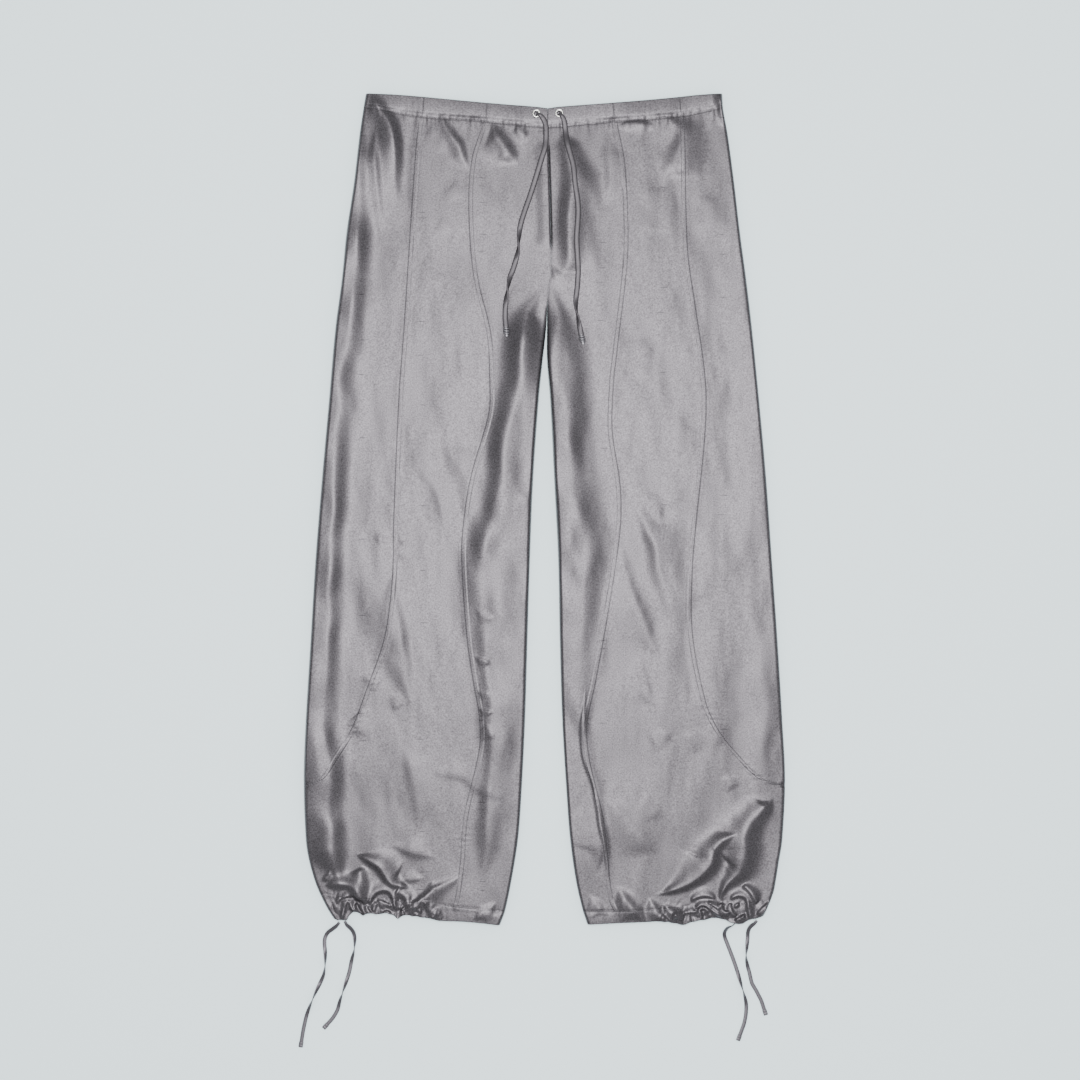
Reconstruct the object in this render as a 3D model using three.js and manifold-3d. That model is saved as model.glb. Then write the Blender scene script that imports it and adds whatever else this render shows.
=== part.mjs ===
// Wide-leg drawstring track pants in satin, lying flat on their back with the front up.
// Millimetres. +X is the wearer's left, +Y runs from hem to waist and +Z is up from the surface.
// The origin is on the surface, under the middle of the garment without its cords.
// Each leg has a front centre panel, a front inner panel, a side panel that wraps round to the
// back and ends in a point near the ankle, and a back panel. Waist and hems are drawcord casings.
import * as THREE from "three";
import { mergeVertices } from "three/addons/utils/BufferGeometryUtils.js";
import Module from "manifold-3d";

const wasm = await Module();
wasm.setup();
const { clamp, lerp, smoothstep } = THREE.MathUtils;

// Driving dimensions
const clothWall = 1.2; // satin with its seam allowances pressed behind it
const bandWall = 2; // waist casing, folded double
const hemWall = 1.6; // hem casing
const halfGap = 0.15; // each side of a seam
const hemGap = 0.4; // a panel's gathered foot to the hem casing
const restHeight = 9.6; // outer face of the front above the surface, away from folds
const upperRound = 7; // radius of a leg's edge where it turns down from the front
const lowerRound = 4; // radius where it turns under
const edgeHeight = 4.5; // height of the edge's outermost line
const underTurn = 4; // how far a front panel goes on under the leg
const crotchTop = 266; // height along Y where the legs part
const crotchLow = 214; // and where their inner edges are fully round
const pointTop = -334; // the side panel narrows to its point from here
const pointLow = -357; // to here
const pointWidth = 5;
const lapRise = 1.4; // the false fly's lap on the right front
const lapWidth = 22;
const lapFade = 16; // it rises to full height in this width from its inner side
const lapTop = 445;
const lapLow = 322;
const lapEnd = 15; // and in this length at its ends
const bandRoll = 0.9; // swell of the waist casing over its cord
const gatherPitch = 11.5; // hem gathers
const gatherRise = 2.6;
const gatherStart = 20; // the gathers grow over this width
const gatherEnd = 6; // and stop over this one at the side
const gatherDepth = 0.7; // share of the casing's height in which a gather opens
const foldEnd = 0.2; // share of a fold's length in which it rises at each end

const upperArc = (upperRound * Math.PI) / 2;
const lowerArc = (lowerRound * Math.PI) / 2;
const turnedUnder = upperArc + lowerArc + underTurn;

// Lines across the garment, [x, y]
const waistEdge = [
  [-223, 519], [-181, 517], [-124, 512], [-69, 507], [-9, 502], [4, 500.5],
  [16, 502], [81, 507], [142, 512], [192, 517], [222, 519],
];
const waistSeam = [
  [-226, 501], [-152, 489], [-81, 484], [-31, 479], [4, 476.5], [38, 479],
  [86, 483], [128, 486], [176, 491], [223, 501],
];

// Each leg's edges and seams from waist to hem, [x, y]. Folds run along the foot of their steep
// face. crest is 1 where the fold rises on the right of the way it runs, and -1 on the left.
const rightLeg = {
  name: "right",
  sign: -1,
  side: [
    [-223, 519], [-226, 501], [-231, 467], [-238, 407], [-247, 347], [-253, 287], [-261, 227],
    [-269, 137], [-278, 37], [-286, -63], [-292, -163], [-298, -263], [-300.5, -338],
    [-298, -413], [-294, -438], [-287, -463], [-281, -478], [-271, -498], [-262, -512],
  ],
  inner: [
    [4, 501], [4, 484], [7, 387], [8, 303], [4, 263], [2, 224], [-2, 187], [-7, 137], [-14, 37],
    [-18, -63], [-21, -163], [-24, -263], [-29, -363], [-33, -413], [-41, -463], [-49, -501],
    [-56, -520],
  ],
  outerSeam: [
    [-151, 515], [-153, 489], [-158, 449], [-173, 224], [-179, 142], [-186, -24], [-186, -57],
    [-189, -107], [-198, -163], [-221, -229], [-237, -271], [-256, -304], [-279, -337],
    [-298, -347],
  ],
  innerSeam: [
    [-72, 507], [-74, 483], [-88, 437], [-92, 376], [-86, 292], [-69, 218], [-66, 162],
    [-67, 121], [-88, 46], [-97, -3], [-101, -58], [-94, -163], [-86, -217], [-79, -258],
    [-79, -299], [-98, -383], [-103, -444], [-109, -486], [-117, -513],
  ],
  hemSeam: [
    [-290, -477], [-268, -480], [-243, -484], [-191, -485], [-162, -487], [-137, -490],
    [-111, -494], [-82, -497], [-49, -501],
  ],
  hemEdge: [
    [-262, -512], [-251, -514], [-241, -504], [-228, -506], [-191, -504], [-184, -509],
    [-162, -508], [-131, -513], [-106, -514], [-81, -516], [-56, -519],
  ],
  gathers: { from: -262, to: -120 },
  folds: [
    {
      line: [
        [-226, 480], [-227, 386], [-227, 303], [-236, 206], [-249, 150], [-255, 57], [-261, -40],
        [-266, -163], [-267, -276], [-259, -320], [-256, -412], [-254, -470],
      ],
      steep: 15, gentle: 26, rise: 6.5, crest: 1,
    },
    {
      line: [[-208, 500], [-189, 452], [-183, 396], [-176, 345]],
      steep: 12, gentle: 26, rise: 3.5, crest: 1,
    },
    {
      line: [
        [-6, 280], [-28, 241], [-45, 181], [-49, 129], [-58, 92], [-64, 51], [-73, 10], [-84, -47],
        [-86, -130],
      ],
      steep: 19, gentle: 34, rise: 7.5, crest: -1,
    },
    {
      line: [[-84, -130], [-79, -194], [-73, -246], [-68, -300]],
      steep: 13, gentle: 28, rise: 5, crest: -1,
    },
    { line: [[-80, -330], [-79, -384], [-79, -470]], steep: 13, gentle: 26, rise: 4, crest: -1 },
    { line: [[-130, 90], [-109, 40], [-98, -20]], steep: 12, gentle: 30, rise: 2.5, crest: -1 },
    { line: [[-186, -68], [-168, -167], [-167, -260]], steep: 13, gentle: 34, rise: 2.5, crest: 1 },
    {
      line: [[-238, -425], [-209, -449], [-190, -468], [-150, -474]],
      steep: 11, gentle: 24, rise: 5.5, crest: -1,
    },
    { line: [[-190, -410], [-168, -429], [-130, -440]], steep: 11, gentle: 26, rise: 2.5, crest: -1 },
  ],
};
const leftLeg = {
  name: "left",
  sign: 1,
  side: [
    [222, 519], [223, 501], [229, 467], [237, 407], [244, 347], [252, 287], [259, 227],
    [268, 137], [277, 37], [284, -63], [291, -163], [297, -263], [300.5, -338], [297, -413],
    [293, -438], [289, -463], [286, -478], [278, -498], [272, -510],
  ],
  inner: [
    [4, 501], [4, 477], [7, 387], [8, 303], [4, 263], [3, 224], [3, 187], [7, 137], [12, 37],
    [17, -63], [19, -163], [22, -263], [28, -363], [32, -413], [39, -463], [47, -498], [54, -520],
  ],
  outerSeam: [
    [169, 515], [171, 491], [173, 437], [174, 376], [177, 313], [186, 251], [198, 162], [198, 99],
    [186, -24], [182, -74], [182, -154], [198, -238], [212, -271], [233, -299], [271, -337],
    [299, -348],
  ],
  innerSeam: [
    [86, 507], [88, 483], [97, 437], [101, 376], [101, 313], [88, 197], [84, 162], [82, 99],
    [92, 29], [92, -24], [77, -128], [61, -217], [51, -267], [53, -308], [72, -391], [83, -486],
    [97, -514],
  ],
  hemSeam: [
    [292, -486], [276, -488], [244, -491], [213, -492], [182, -494], [132, -498], [83, -500],
    [47, -500],
  ],
  hemEdge: [
    [272, -508], [257, -512], [239, -514], [222, -511], [194, -514], [169, -517], [94, -516],
    [54, -518],
  ],
  gathers: { from: 268, to: 128 },
  folds: [
    {
      line: [[233, 440], [241, 219], [240, 150], [243, 60], [252, -60], [262, -200], [270, -320]],
      steep: 14, gentle: 24, rise: 4.5, crest: -1,
    },
    {
      line: [[148, 486], [163, 467], [155, 436], [146, 405]],
      steep: 11, gentle: 26, rise: 3, crest: -1,
    },
    { line: [[22, 464], [27, 400], [27, 320]], steep: 10, gentle: 24, rise: 2.5, crest: -1 },
    {
      line: [
        [12, 280], [29, 222], [39, 149], [44, 87], [50, 10], [60, -37], [57, -99], [53, -222],
        [54, -280], [62, -320],
      ],
      steep: 18, gentle: 32, rise: 7.5, crest: 1,
    },
    {
      line: [[102, 4], [127, -31], [139, -78], [154, -129], [171, -178]],
      steep: 12, gentle: 30, rise: 4.5, crest: -1,
    },
    {
      line: [[94, -37], [111, -100], [136, -162], [152, -205]],
      steep: 11, gentle: 26, rise: 3.5, crest: 1,
    },
    {
      line: [[70, -350], [97, -374], [117, -399], [150, -430]],
      steep: 12, gentle: 28, rise: 2.5, crest: 1,
    },
    {
      line: [[278, -365], [262, -405], [254, -452], [232, -484]],
      steep: 15, gentle: 24, rise: 6, crest: 1,
    },
    {
      line: [[234, -380], [222, -425], [205, -458], [150, -484]],
      steep: 12, gentle: 24, rise: 5, crest: 1,
    },
  ],
};

// Flat drawcords: the free part from its opening to its knot, [x, y], lying on what is under it.
// `knot` is the knot's half width, half length and half height, and `step` the tube's step.
const waistCord = { width: 7, thickness: 1.8, knot: [5, 6, 3.4], step: 14 };
const hemCord = { width: 5, thickness: 1.4, knot: [3.6, 4.6, 1.8], step: 11 };
const cords = [
  {
    name: "waist_cord_right", size: waistCord,
    route: [
      [-9, 493], [-3, 489], [1, 481], [2, 471], [1, 453], [-4, 436], [-11, 413], [-18, 391],
      [-25, 371], [-30, 354], [-32, 337], [-33, 322], [-38, 303], [-43, 289], [-46, 274],
      [-48, 261], [-49, 241], [-48, 227],
    ],
  },
  {
    name: "waist_cord_left", size: waistCord,
    route: [
      [19, 493], [24, 486], [26, 473], [28, 458], [32, 443], [36, 427], [38, 407], [41, 386],
      [42, 371], [41, 354], [40, 337], [41, 318], [42, 298], [41, 279], [39, 256], [42, 237],
      [46, 217],
    ],
  },
  {
    name: "hem_cord_right_outer", size: hemCord,
    route: [
      [-256, -515], [-259, -519], [-265, -524], [-271, -529], [-274.5, -536], [-275, -544],
      [-274, -554], [-274, -568], [-276, -581], [-280, -591], [-287, -606], [-296, -628],
      [-301, -648], [-304, -666],
    ],
  },
  {
    name: "hem_cord_right_inner", size: hemCord,
    route: [
      [-249, -513.4], [-246.7, -518], [-242, -523], [-238.5, -529], [-237, -538], [-238, -551],
      [-241, -563], [-244, -578], [-248, -591], [-252, -603], [-256, -615], [-259, -626],
      [-265, -636], [-272, -644],
    ],
  },
  {
    name: "hem_cord_left_inner", size: hemCord,
    route: [
      [238, -515.5], [234.5, -519], [229, -522], [225.5, -527], [225, -533], [229, -544],
      [234, -557], [238, -568], [241, -577], [244, -587], [249, -604], [252, -617], [252, -629],
      [250, -641], [247, -650], [244, -658],
    ],
  },
  {
    name: "hem_cord_left_outer", size: hemCord,
    route: [
      [265, -512.7], [261.5, -516.7], [257, -521], [254.5, -527], [254, -536], [253, -548],
      [252, -559], [254, -571], [256, -578], [259, -591], [262, -597], [265, -602], [268, -608],
      [271, -614], [275, -626],
    ],
  },
];
const cordLift = 0.9; // clear of what a cord lies on
const layReach = 9; // which is the highest cloth within this distance
const fallRun = 26; // a hem cord comes down to the surface in this length
const fallSlope = 0.35; // a waist cord comes down from its eyelet this steeply

const eyelet = { hole: 2.9, barrel: 3.6, crown: 4.2, flange: 5.2, rolled: 4.8, roll: 0.5, rim: 1 };
const eyeletPlaces = [
  { leg: "right", x: -10, y: 493.5 },
  { leg: "left", x: 18.5, y: 494 },
];
const punched = 3.9; // hole in the casing round an eyelet's barrel
const roundSides = 16; // of an eyelet and its hole

// Counts of columns and rows in the walls
const panelRows = { leg: 20, point: 5, ankle: 7 };
const pointStart = 10; // the point's closer rows start this far above it
const ankleReach = 80; // the centre panel's columns start to turn under this far above it
const inseamReach = 30; // and the inner panel's this far below the crotch
const inseamFlat = 3; // flat cloth past the inner panel's turn
const sideColumns = { front: 4, fold: 5, under: 2 };
const centreColumns = { flat: 8, edge: 4 };
const innerColumns = { flat: 5, edge: 5 };
const backColumns = 4;
const casingRows = 3;
const bandColumns = 9;
const hemColumns = { flat: 2, gather: 4, side: 5 };
const leastStep = 0.4; // between two columns or rows
const settleTurns = 5; // a place's height and its row's line are matched this many times

const satin = { color: 0x98959a, roughness: 0.38, metalness: 0 };
const casing = { color: 0x949196, roughness: 0.42, metalness: 0 };
const cordStuff = { color: 0x8a878c, roughness: 0.45, metalness: 0 };
const nickel = { color: 0xc9c9cb, roughness: 0.25, metalness: 1 };

// A smooth line through [x, y] points: value at index `to` for a given value at index `from`.
function lineThrough(points, from, to) {
  const p = points.map((q) => [q[from], q[to]]).sort((a, b) => a[0] - b[0]);
  const last = p.length - 1;
  const slope = p.map((q, i) => {
    const a = p[Math.max(i - 1, 0)];
    const b = p[Math.min(i + 1, last)];
    return (b[1] - a[1]) / (b[0] - a[0]);
  });
  return (at) => {
    if (at <= p[0][0]) return p[0][1];
    if (at >= p[last][0]) return p[last][1];
    const i = p.findIndex((q) => q[0] > at) - 1;
    const run = p[i + 1][0] - p[i][0];
    const t = (at - p[i][0]) / run;
    const rest = 1 - t;
    return (
      rest * rest * (1 + 2 * t) * p[i][1] +
      t * t * (3 - 2 * t) * p[i + 1][1] +
      run * t * rest * (rest * slope[i] - t * slope[i + 1])
    );
  };
}

const waistEdgeY = lineThrough(waistEdge, 0, 1);
const waistSeamY = lineThrough(waistSeam, 0, 1);

for (const leg of [rightLeg, leftLeg]) {
  for (const line of ["side", "inner", "outerSeam", "innerSeam"]) {
    const x = lineThrough(leg[line], 1, 0);
    leg[line + "At"] = (y) => leg.sign * x(y); // outward distance from the middle
  }
  leg.hemSeamY = lineThrough(leg.hemSeam, 0, 1);
  leg.hemEdgeY = lineThrough(leg.hemEdge, 0, 1);
  for (const fold of leg.folds) {
    const spline = new THREE.SplineCurve(fold.line.map(([x, y]) => new THREE.Vector2(x, y)));
    fold.steps = spline.getSpacedPoints(6 * fold.line.length);
  }
}

// Height that one fold adds at x, y: a rounded ridge with a steep face and a gentle one.
function foldRise({ steps, steep, gentle, rise, crest }, x, y) {
  let nearest = Infinity;
  let offset = 0;
  let along = 0;
  for (let i = 1; i < steps.length; i++) {
    const a = steps[i - 1];
    const dx = steps[i].x - a.x;
    const dy = steps[i].y - a.y;
    const t = clamp(((x - a.x) * dx + (y - a.y) * dy) / (dx * dx + dy * dy), 0, 1);
    const px = x - a.x - t * dx;
    const py = y - a.y - t * dy;
    const far = Math.hypot(px, py);
    if (far < nearest) {
      nearest = far;
      offset = Math.sign(px * dy - py * dx) * far;
      along = (i - 1 + t) / (steps.length - 1);
    }
  }
  const fromCrest = crest * offset - Math.SQRT1_2 * steep;
  const width = fromCrest < 0 ? steep : gentle;
  const ends = smoothstep(Math.min(along, 1 - along), 0, foldEnd);
  return ends * rise * Math.exp(-((fromCrest / width) ** 2));
}

// Outer face of the front above the surface. Below the crotch a leg has only its own folds.
function frontHeight(leg, x, y) {
  const shared = smoothstep(y, crotchLow, crotchTop);
  let height = restHeight;
  for (const each of [rightLeg, leftLeg]) {
    const share = each === leg ? 1 : shared;
    for (const fold of each.folds) height += share && share * foldRise(fold, x, y);
  }
  if (leg === rightLeg) {
    const across = leg.innerAt(y) + lapWidth - leg.sign * x;
    const low = smoothstep(y, lapLow, lapLow + lapEnd);
    const high = 1 - smoothstep(y, lapTop, lapTop + lapEnd);
    height += lapRise * low * high * smoothstep(across, 0, lapFade);
  }
  return height;
}

// How round a leg's inner edge is: 0 above the crotch, where the fronts meet, and 1 below it.
const roundness = (y) => 1 - smoothstep(y, crotchLow, crotchTop);
const sideEnd = (leg, y) => leg.sideAt(y) - upperRound; // where the side starts to turn down
const innerEnd = (leg, y) => leg.innerAt(y) + halfGap + upperRound;

// Distance in from an edge and height, for a length `run` past the start of the edge's round.
function roundedEdge(run, top) {
  if (run <= upperArc) {
    const turn = run / upperRound;
    return [upperRound * (1 - Math.sin(turn)), edgeHeight + (top - edgeHeight) * Math.cos(turn)];
  }
  const turn = Math.min((run - upperArc) / lowerRound, Math.PI / 2);
  const under = Math.max(run - upperArc - lowerArc, 0);
  return [lowerRound * (1 - Math.cos(turn)) + under, edgeHeight * (1 - Math.sin(turn))];
}

// The leg's outer face. `out` is the distance outward from the middle along the cloth's front,
// which goes on round the edges and under the leg.
function legPoint(leg, out, y, lift = 0) {
  const place = (q, z) => new THREE.Vector3(leg.sign * q, y, z);
  const top = (q) => frontHeight(leg, leg.sign * q, y) + lift;
  const past = out - sideEnd(leg, y);
  if (past > 0) {
    const inward = roundedEdge(past, 0)[0];
    const q = leg.sideAt(y) - inward;
    return place(q, roundedEdge(past, top(q))[1]);
  }
  const before = innerEnd(leg, y) - out;
  const share = roundness(y);
  if (before > 0 && share > 0) {
    const edge = leg.innerAt(y) + halfGap;
    const flat = Math.max(out, edge);
    const q = edge + roundedEdge(before, 0)[0];
    const rolled = roundedEdge(before, top(q))[1];
    return place(lerp(flat, q, share), lerp(top(flat), rolled, share));
  }
  return place(out, top(out));
}

// A wall's outer and inner points at one place, with the cloth's own normal between them.
function wallPoints(leg, out, y, wall, lift) {
  const step = 0.5;
  const across = legPoint(leg, out + step, y, lift).sub(legPoint(leg, out - step, y, lift));
  const along = legPoint(leg, out, y + step, lift).sub(legPoint(leg, out, y - step, lift));
  const normal = across.cross(along).multiplyScalar(leg.sign).normalize();
  const outer = legPoint(leg, out, y, lift);
  return [outer, outer.clone().addScaledVector(normal, -wall)];
}

// A closed solid between two grids of points, outer and inner.
function solidWall(grid) {
  const rows = grid.length;
  const columns = grid[0].length;
  const positions = [];
  for (const face of [0, 1])
    for (const row of grid) for (const pair of row) positions.push(...pair[face].toArray());
  const at = (face, j, i) => (face * rows + j) * columns + i;
  const index = [];
  const quad = (a, b, c, d) => index.push(a, b, c, a, c, d);
  for (let j = 0; j + 1 < rows; j++)
    for (let i = 0; i + 1 < columns; i++) {
      quad(at(0, j, i), at(0, j, i + 1), at(0, j + 1, i + 1), at(0, j + 1, i));
      quad(at(1, j, i), at(1, j + 1, i), at(1, j + 1, i + 1), at(1, j, i + 1));
    }
  // Facing edges of two panels are split along the same diagonals, so they stay parallel.
  const end = columns - 1;
  for (let j = 0; j + 1 < rows; j++) {
    quad(at(0, j, 0), at(0, j + 1, 0), at(1, j + 1, 0), at(1, j, 0));
    quad(at(0, j, end), at(1, j, end), at(1, j + 1, end), at(0, j + 1, end));
  }
  const foot = rows - 1;
  for (let i = 0; i < end; i++) {
    quad(at(0, 0, i), at(1, 0, i), at(1, 0, i + 1), at(0, 0, i + 1));
    quad(at(0, foot, i), at(0, foot, i + 1), at(1, foot, i + 1), at(1, foot, i));
  }
  const geometry = new THREE.BufferGeometry();
  geometry.setAttribute("position", new THREE.Float32BufferAttribute(positions, 3));
  geometry.setIndex(index);
  return facingOut(geometry);
}

// Turns the faces round where the solid is inside out.
function facingOut(geometry) {
  const p = geometry.getAttribute("position");
  const corners = geometry.index.array;
  const [a, b, c] = [0, 1, 2].map(() => new THREE.Vector3());
  let volume = 0;
  for (let i = 0; i < corners.length; i += 3) {
    [a, b, c].forEach((v, k) => v.fromBufferAttribute(p, corners[i + k]));
    volume += a.dot(b.cross(c));
  }
  if (volume < 0)
    for (let i = 0; i < corners.length; i += 3)
      [corners[i + 1], corners[i + 2]] = [corners[i + 2], corners[i + 1]];
  return geometry;
}

const group = new THREE.Group();

function addPiece(name, geometry, stuff) {
  const mesh = new THREE.Mesh(geometry, new THREE.MeshStandardMaterial(stuff));
  mesh.name = name;
  group.add(mesh);
  return mesh;
}

// Values from a to b in one run of equal steps after another, kept a little apart.
function steps(ends, counts) {
  const values = [ends[0]];
  counts.forEach((count, k) => {
    for (let i = 1; i <= count; i++) values.push(lerp(ends[k], ends[k + 1], i / count));
  });
  const last = values.length - 1;
  for (let i = 1; i <= last; i++) values[i] = Math.max(values[i], values[i - 1] + leastStep);
  values[last] = ends[ends.length - 1];
  for (let i = last - 1; i > 0; i--) values[i] = Math.min(values[i], values[i + 1] - leastStep);
  return values;
}

// Seams in the cloth's own outward distance, from waist to hem
const centreFrontOut = (leg, y) => leg.innerAt(y);
const innerSeamOut = (leg, y) => leg.innerSeamAt(y);
const sideTurnedUnder = (leg, y) => sideEnd(leg, y) + turnedUnder;
const nearPoint = (y) => 1 - smoothstep(y, pointLow, pointTop);
function outerSeamOut(leg, y) {
  return lerp(leg.outerSeamAt(y), sideTurnedUnder(leg, y), nearPoint(y));
}
function backSeamOut(leg, y) {
  const mirrored = 2 * sideEnd(leg, y) + upperArc + lowerArc + upperRound - lowerRound;
  const seam = mirrored - outerSeamOut(leg, y);
  return Math.max(seam, sideTurnedUnder(leg, y) + pointWidth);
}
function innerTurnOut(leg, y) {
  const start = innerEnd(leg, y);
  return start - lerp(upperRound, turnedUnder, roundness(y));
}

// Y of a place on the cloth that is `down` of the way from the waist seam to the hem seam.
function rowY(leg, out, down) {
  let y = lerp(waistSeam[0][1], leg.hemSeam[0][1], down);
  for (let i = 0; i < settleTurns; i++) {
    const q = typeof out === "function" ? out(y) : out;
    const x = leg.sign * flatOut(leg, q, y);
    y = lerp(waistSeamY(x) - halfGap, leg.hemSeamY(x) + halfGap, down);
  }
  return y;
}

// Outward distance of a place on the cloth, seen from above.
function flatOut(leg, out, y) {
  const past = out - sideEnd(leg, y);
  if (past > 0) return leg.sideAt(y) - roundedEdge(past, 0)[0];
  const before = innerEnd(leg, y) - out;
  if (before <= 0) return out;
  const edge = leg.innerAt(y) + halfGap;
  return lerp(Math.max(out, edge), edge + roundedEdge(before, 0)[0], roundness(y));
}

// Rows of every panel of the leg, closer together where the side panel comes to its point
function rowsOf(leg) {
  const reach = (height) =>
    bisect((down) => rowY(leg, (y) => sideTurnedUnder(leg, y), down) - height);
  const ends = [0, reach(pointTop + pointStart), reach(pointLow), 1];
  return shares(ends, Object.values(panelRows), 1000);
}

// Steps from 0 to 1, kept apart as on a length of `whole`
function shares(ends, counts, whole) {
  return steps(ends.map((v) => v * whole), counts).map((v) => v / whole);
}

// Where a falling function crosses zero between 0 and 1
function bisect(falling) {
  let [low, high] = [0, 1];
  for (let halved = 1; halved > 1e-12; halved /= 2) {
    const middle = (low + high) / 2;
    if (falling(middle) > 0) low = middle;
    else high = middle;
  }
  return low;
}

// A panel between two seams. `columns` gives the places between them on one row.
function panel(leg, name, rows, from, to, columns) {
  const grid = rows.map((down) => {
    const yFrom = rowY(leg, (y) => from(leg, y), down);
    const yTo = rowY(leg, (y) => to(leg, y), down);
    const a = from(leg, yFrom) + halfGap;
    const b = to(leg, yTo) - halfGap;
    return columns(a, b, (yFrom + yTo) / 2).map((out) =>
      wallPoints(leg, out, rowY(leg, out, down), clothWall, 0),
    );
  });
  addPiece(name + "_" + leg.name, solidWall(grid), satin);
}

// Places of a piece's columns on a row from a to b
function sideColumnsAt(leg) {
  const { front, fold, under } = sideColumns;
  return (a, b, y) => {
    const turn = clamp(sideEnd(leg, y), a, b);
    const flat = clamp(turn + upperArc + lowerArc, a, b);
    return steps([a, turn, flat, b], [front, fold, under]);
  };
}
function centreColumnsAt(a, b, y) {
  const { flat, edge } = centreColumns;
  const even = ((b - a) * edge) / (flat + edge);
  const turning = 1 - smoothstep(y, pointLow, pointTop + ankleReach);
  return steps([a, b - lerp(even, turnedUnder, turning), b], [flat, edge]);
}
function innerColumnsAt(a, b, y) {
  const { flat, edge } = innerColumns;
  const even = ((b - a) * edge) / (flat + edge);
  const turning = roundness(y - inseamReach);
  return steps([a, a + lerp(even, turnedUnder + inseamFlat, turning), b], [edge, flat]);
}
const evenColumns = (count) => (a, b) => steps([a, b], [count]);

// Seen from below, the back is flat on the surface between the fronts' turned-under edges.
function flatBack(leg, name, rows, yAt, wall, stuff) {
  const grid = rows.map((down) => {
    const inner = (y) => Math.max(flatOut(leg, innerTurnOut(leg, y), y), leg.innerAt(y) + halfGap);
    const outer = (y) => flatOut(leg, backSeamOut(leg, y), y);
    const mid = yAt(leg, leg.sideAt(0) / 2, down);
    const from = inner(yAt(leg, inner(mid), down)) + (roundness(mid) > 0 ? 2 * halfGap : 0);
    const to = outer(yAt(leg, outer(mid), down)) - 2 * halfGap;
    return evenColumns(backColumns)(from, to).map((q) => {
      const low = new THREE.Vector3(leg.sign * q, yAt(leg, q, down), 0);
      return [low, low.clone().setZ(wall)];
    });
  });
  addPiece(name + "_" + leg.name, solidWall(grid), stuff);
}

// A casing piece between two seams, from its seam line at 0 to its folded edge at 1.
const casingShares = shares([0, 1], [casingRows], 100);
function casingPiece(leg, name, { from, to, yAt, wall, swell }, columns) {
  const settle = (edge, share) => {
    let y = yAt(leg, leg.sideAt(0) / 2, share);
    for (let i = 0; i < settleTurns; i++) y = yAt(leg, flatOut(leg, edge(leg, y), y), share);
    return y;
  };
  const grid = casingShares.map((share) => {
    const a = from(leg, settle(from, share)) + halfGap;
    const b = to(leg, settle(to, share)) - halfGap;
    return columns(a, b, settle(to, share)).map((out) => {
      const y = settle(() => out, share);
      return wallPoints(leg, out, y, wall, swell(out, share));
    });
  });
  return addPiece(name + "_" + leg.name, solidWall(grid), casing);
}

const bandY = (leg, q, share) => {
  const x = leg.sign * q;
  return lerp(waistSeamY(x) + halfGap, waistEdgeY(x), share);
};
const hemY = (leg, q, share) => {
  const x = leg.sign * q;
  return lerp(leg.hemSeamY(x) - hemGap, leg.hemEdgeY(x), share);
};

function buildWaist(leg) {
  const swell = (out, share) => bandRoll * Math.sin(Math.PI * share);
  const common = { yAt: bandY, wall: bandWall, swell };
  const even = evenColumns(bandColumns);
  const sideEnds = { from: outerSeamOut, to: backSeamOut };
  casingPiece(leg, "band_centre", { ...common, from: innerSeamOut, to: outerSeamOut }, even);
  casingPiece(leg, "band_side", { ...common, ...sideEnds }, sideColumnsAt(leg));
  flatBack(leg, "band_back", casingShares, bandY, bandWall, casing);
  return casingPiece(leg, "band_inner", { ...common, from: centreFrontOut, to: innerSeamOut }, even);
}

// Rise of the hem casing's gathers, from none at its seam line to most at its edge
function hemSwell(leg, out, share) {
  const { start, end, waves } = gathersOf(leg);
  const grown = smoothstep(out, start, start + gatherStart);
  const stopped = 1 - smoothstep(out, end - gatherEnd, end);
  const wave = Math.cos((2 * Math.PI * waves * (out - start)) / (end - start));
  return gatherRise * grown * stopped * smoothstep(share, 0, gatherDepth) * (0.5 + 0.5 * wave);
}

function gathersOf(leg) {
  const [start, end] = [leg.gathers.to, leg.gathers.from].map((x) => leg.sign * x);
  return { start, end, waves: Math.round((end - start) / gatherPitch) };
}

function buildHem(leg) {
  const { start, waves } = gathersOf(leg);
  const { flat, gather, side } = hemColumns;
  const swell = (out, share) => hemSwell(leg, out, share);
  const common = { yAt: hemY, wall: hemWall, swell };
  const gathered = (a, b, y) => {
    return steps([a, start, sideEnd(leg, y), b], [flat, gather * waves, side]);
  };
  const centreEnds = { from: innerSeamOut, to: sideTurnedUnder };
  const innerEnds = { from: innerTurnOut, to: innerSeamOut };
  casingPiece(leg, "hem_centre", { ...common, ...centreEnds }, gathered);
  casingPiece(leg, "hem_inner", { ...common, ...innerEnds }, innerColumnsAt);
  flatBack(leg, "hem_back", casingShares, hemY, hemWall, casing);
}

function buildLeg(leg) {
  const rows = rowsOf(leg);
  panel(leg, "front_inner", rows, innerTurnOut, innerSeamOut, innerColumnsAt);
  panel(leg, "front_centre", rows, innerSeamOut, outerSeamOut, centreColumnsAt);
  const sideRows = rows.slice(0, panelRows.leg + panelRows.point + 1);
  panel(leg, "side", sideRows, outerSeamOut, backSeamOut, sideColumnsAt(leg));
  flatBack(leg, "back", rows, rowY, clothWall, satin);
}

// Joins and cuts
function solidOf(geometry) {
  const bare = geometry.clone();
  bare.deleteAttribute("normal");
  bare.deleteAttribute("uv");
  const merged = mergeVertices(bare, 1e-3);
  return new wasm.Manifold(
    new wasm.Mesh({
      numProp: 3,
      vertProperties: merged.getAttribute("position").array,
      triVerts: new Uint32Array(merged.index.array),
    }),
  );
}

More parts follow.
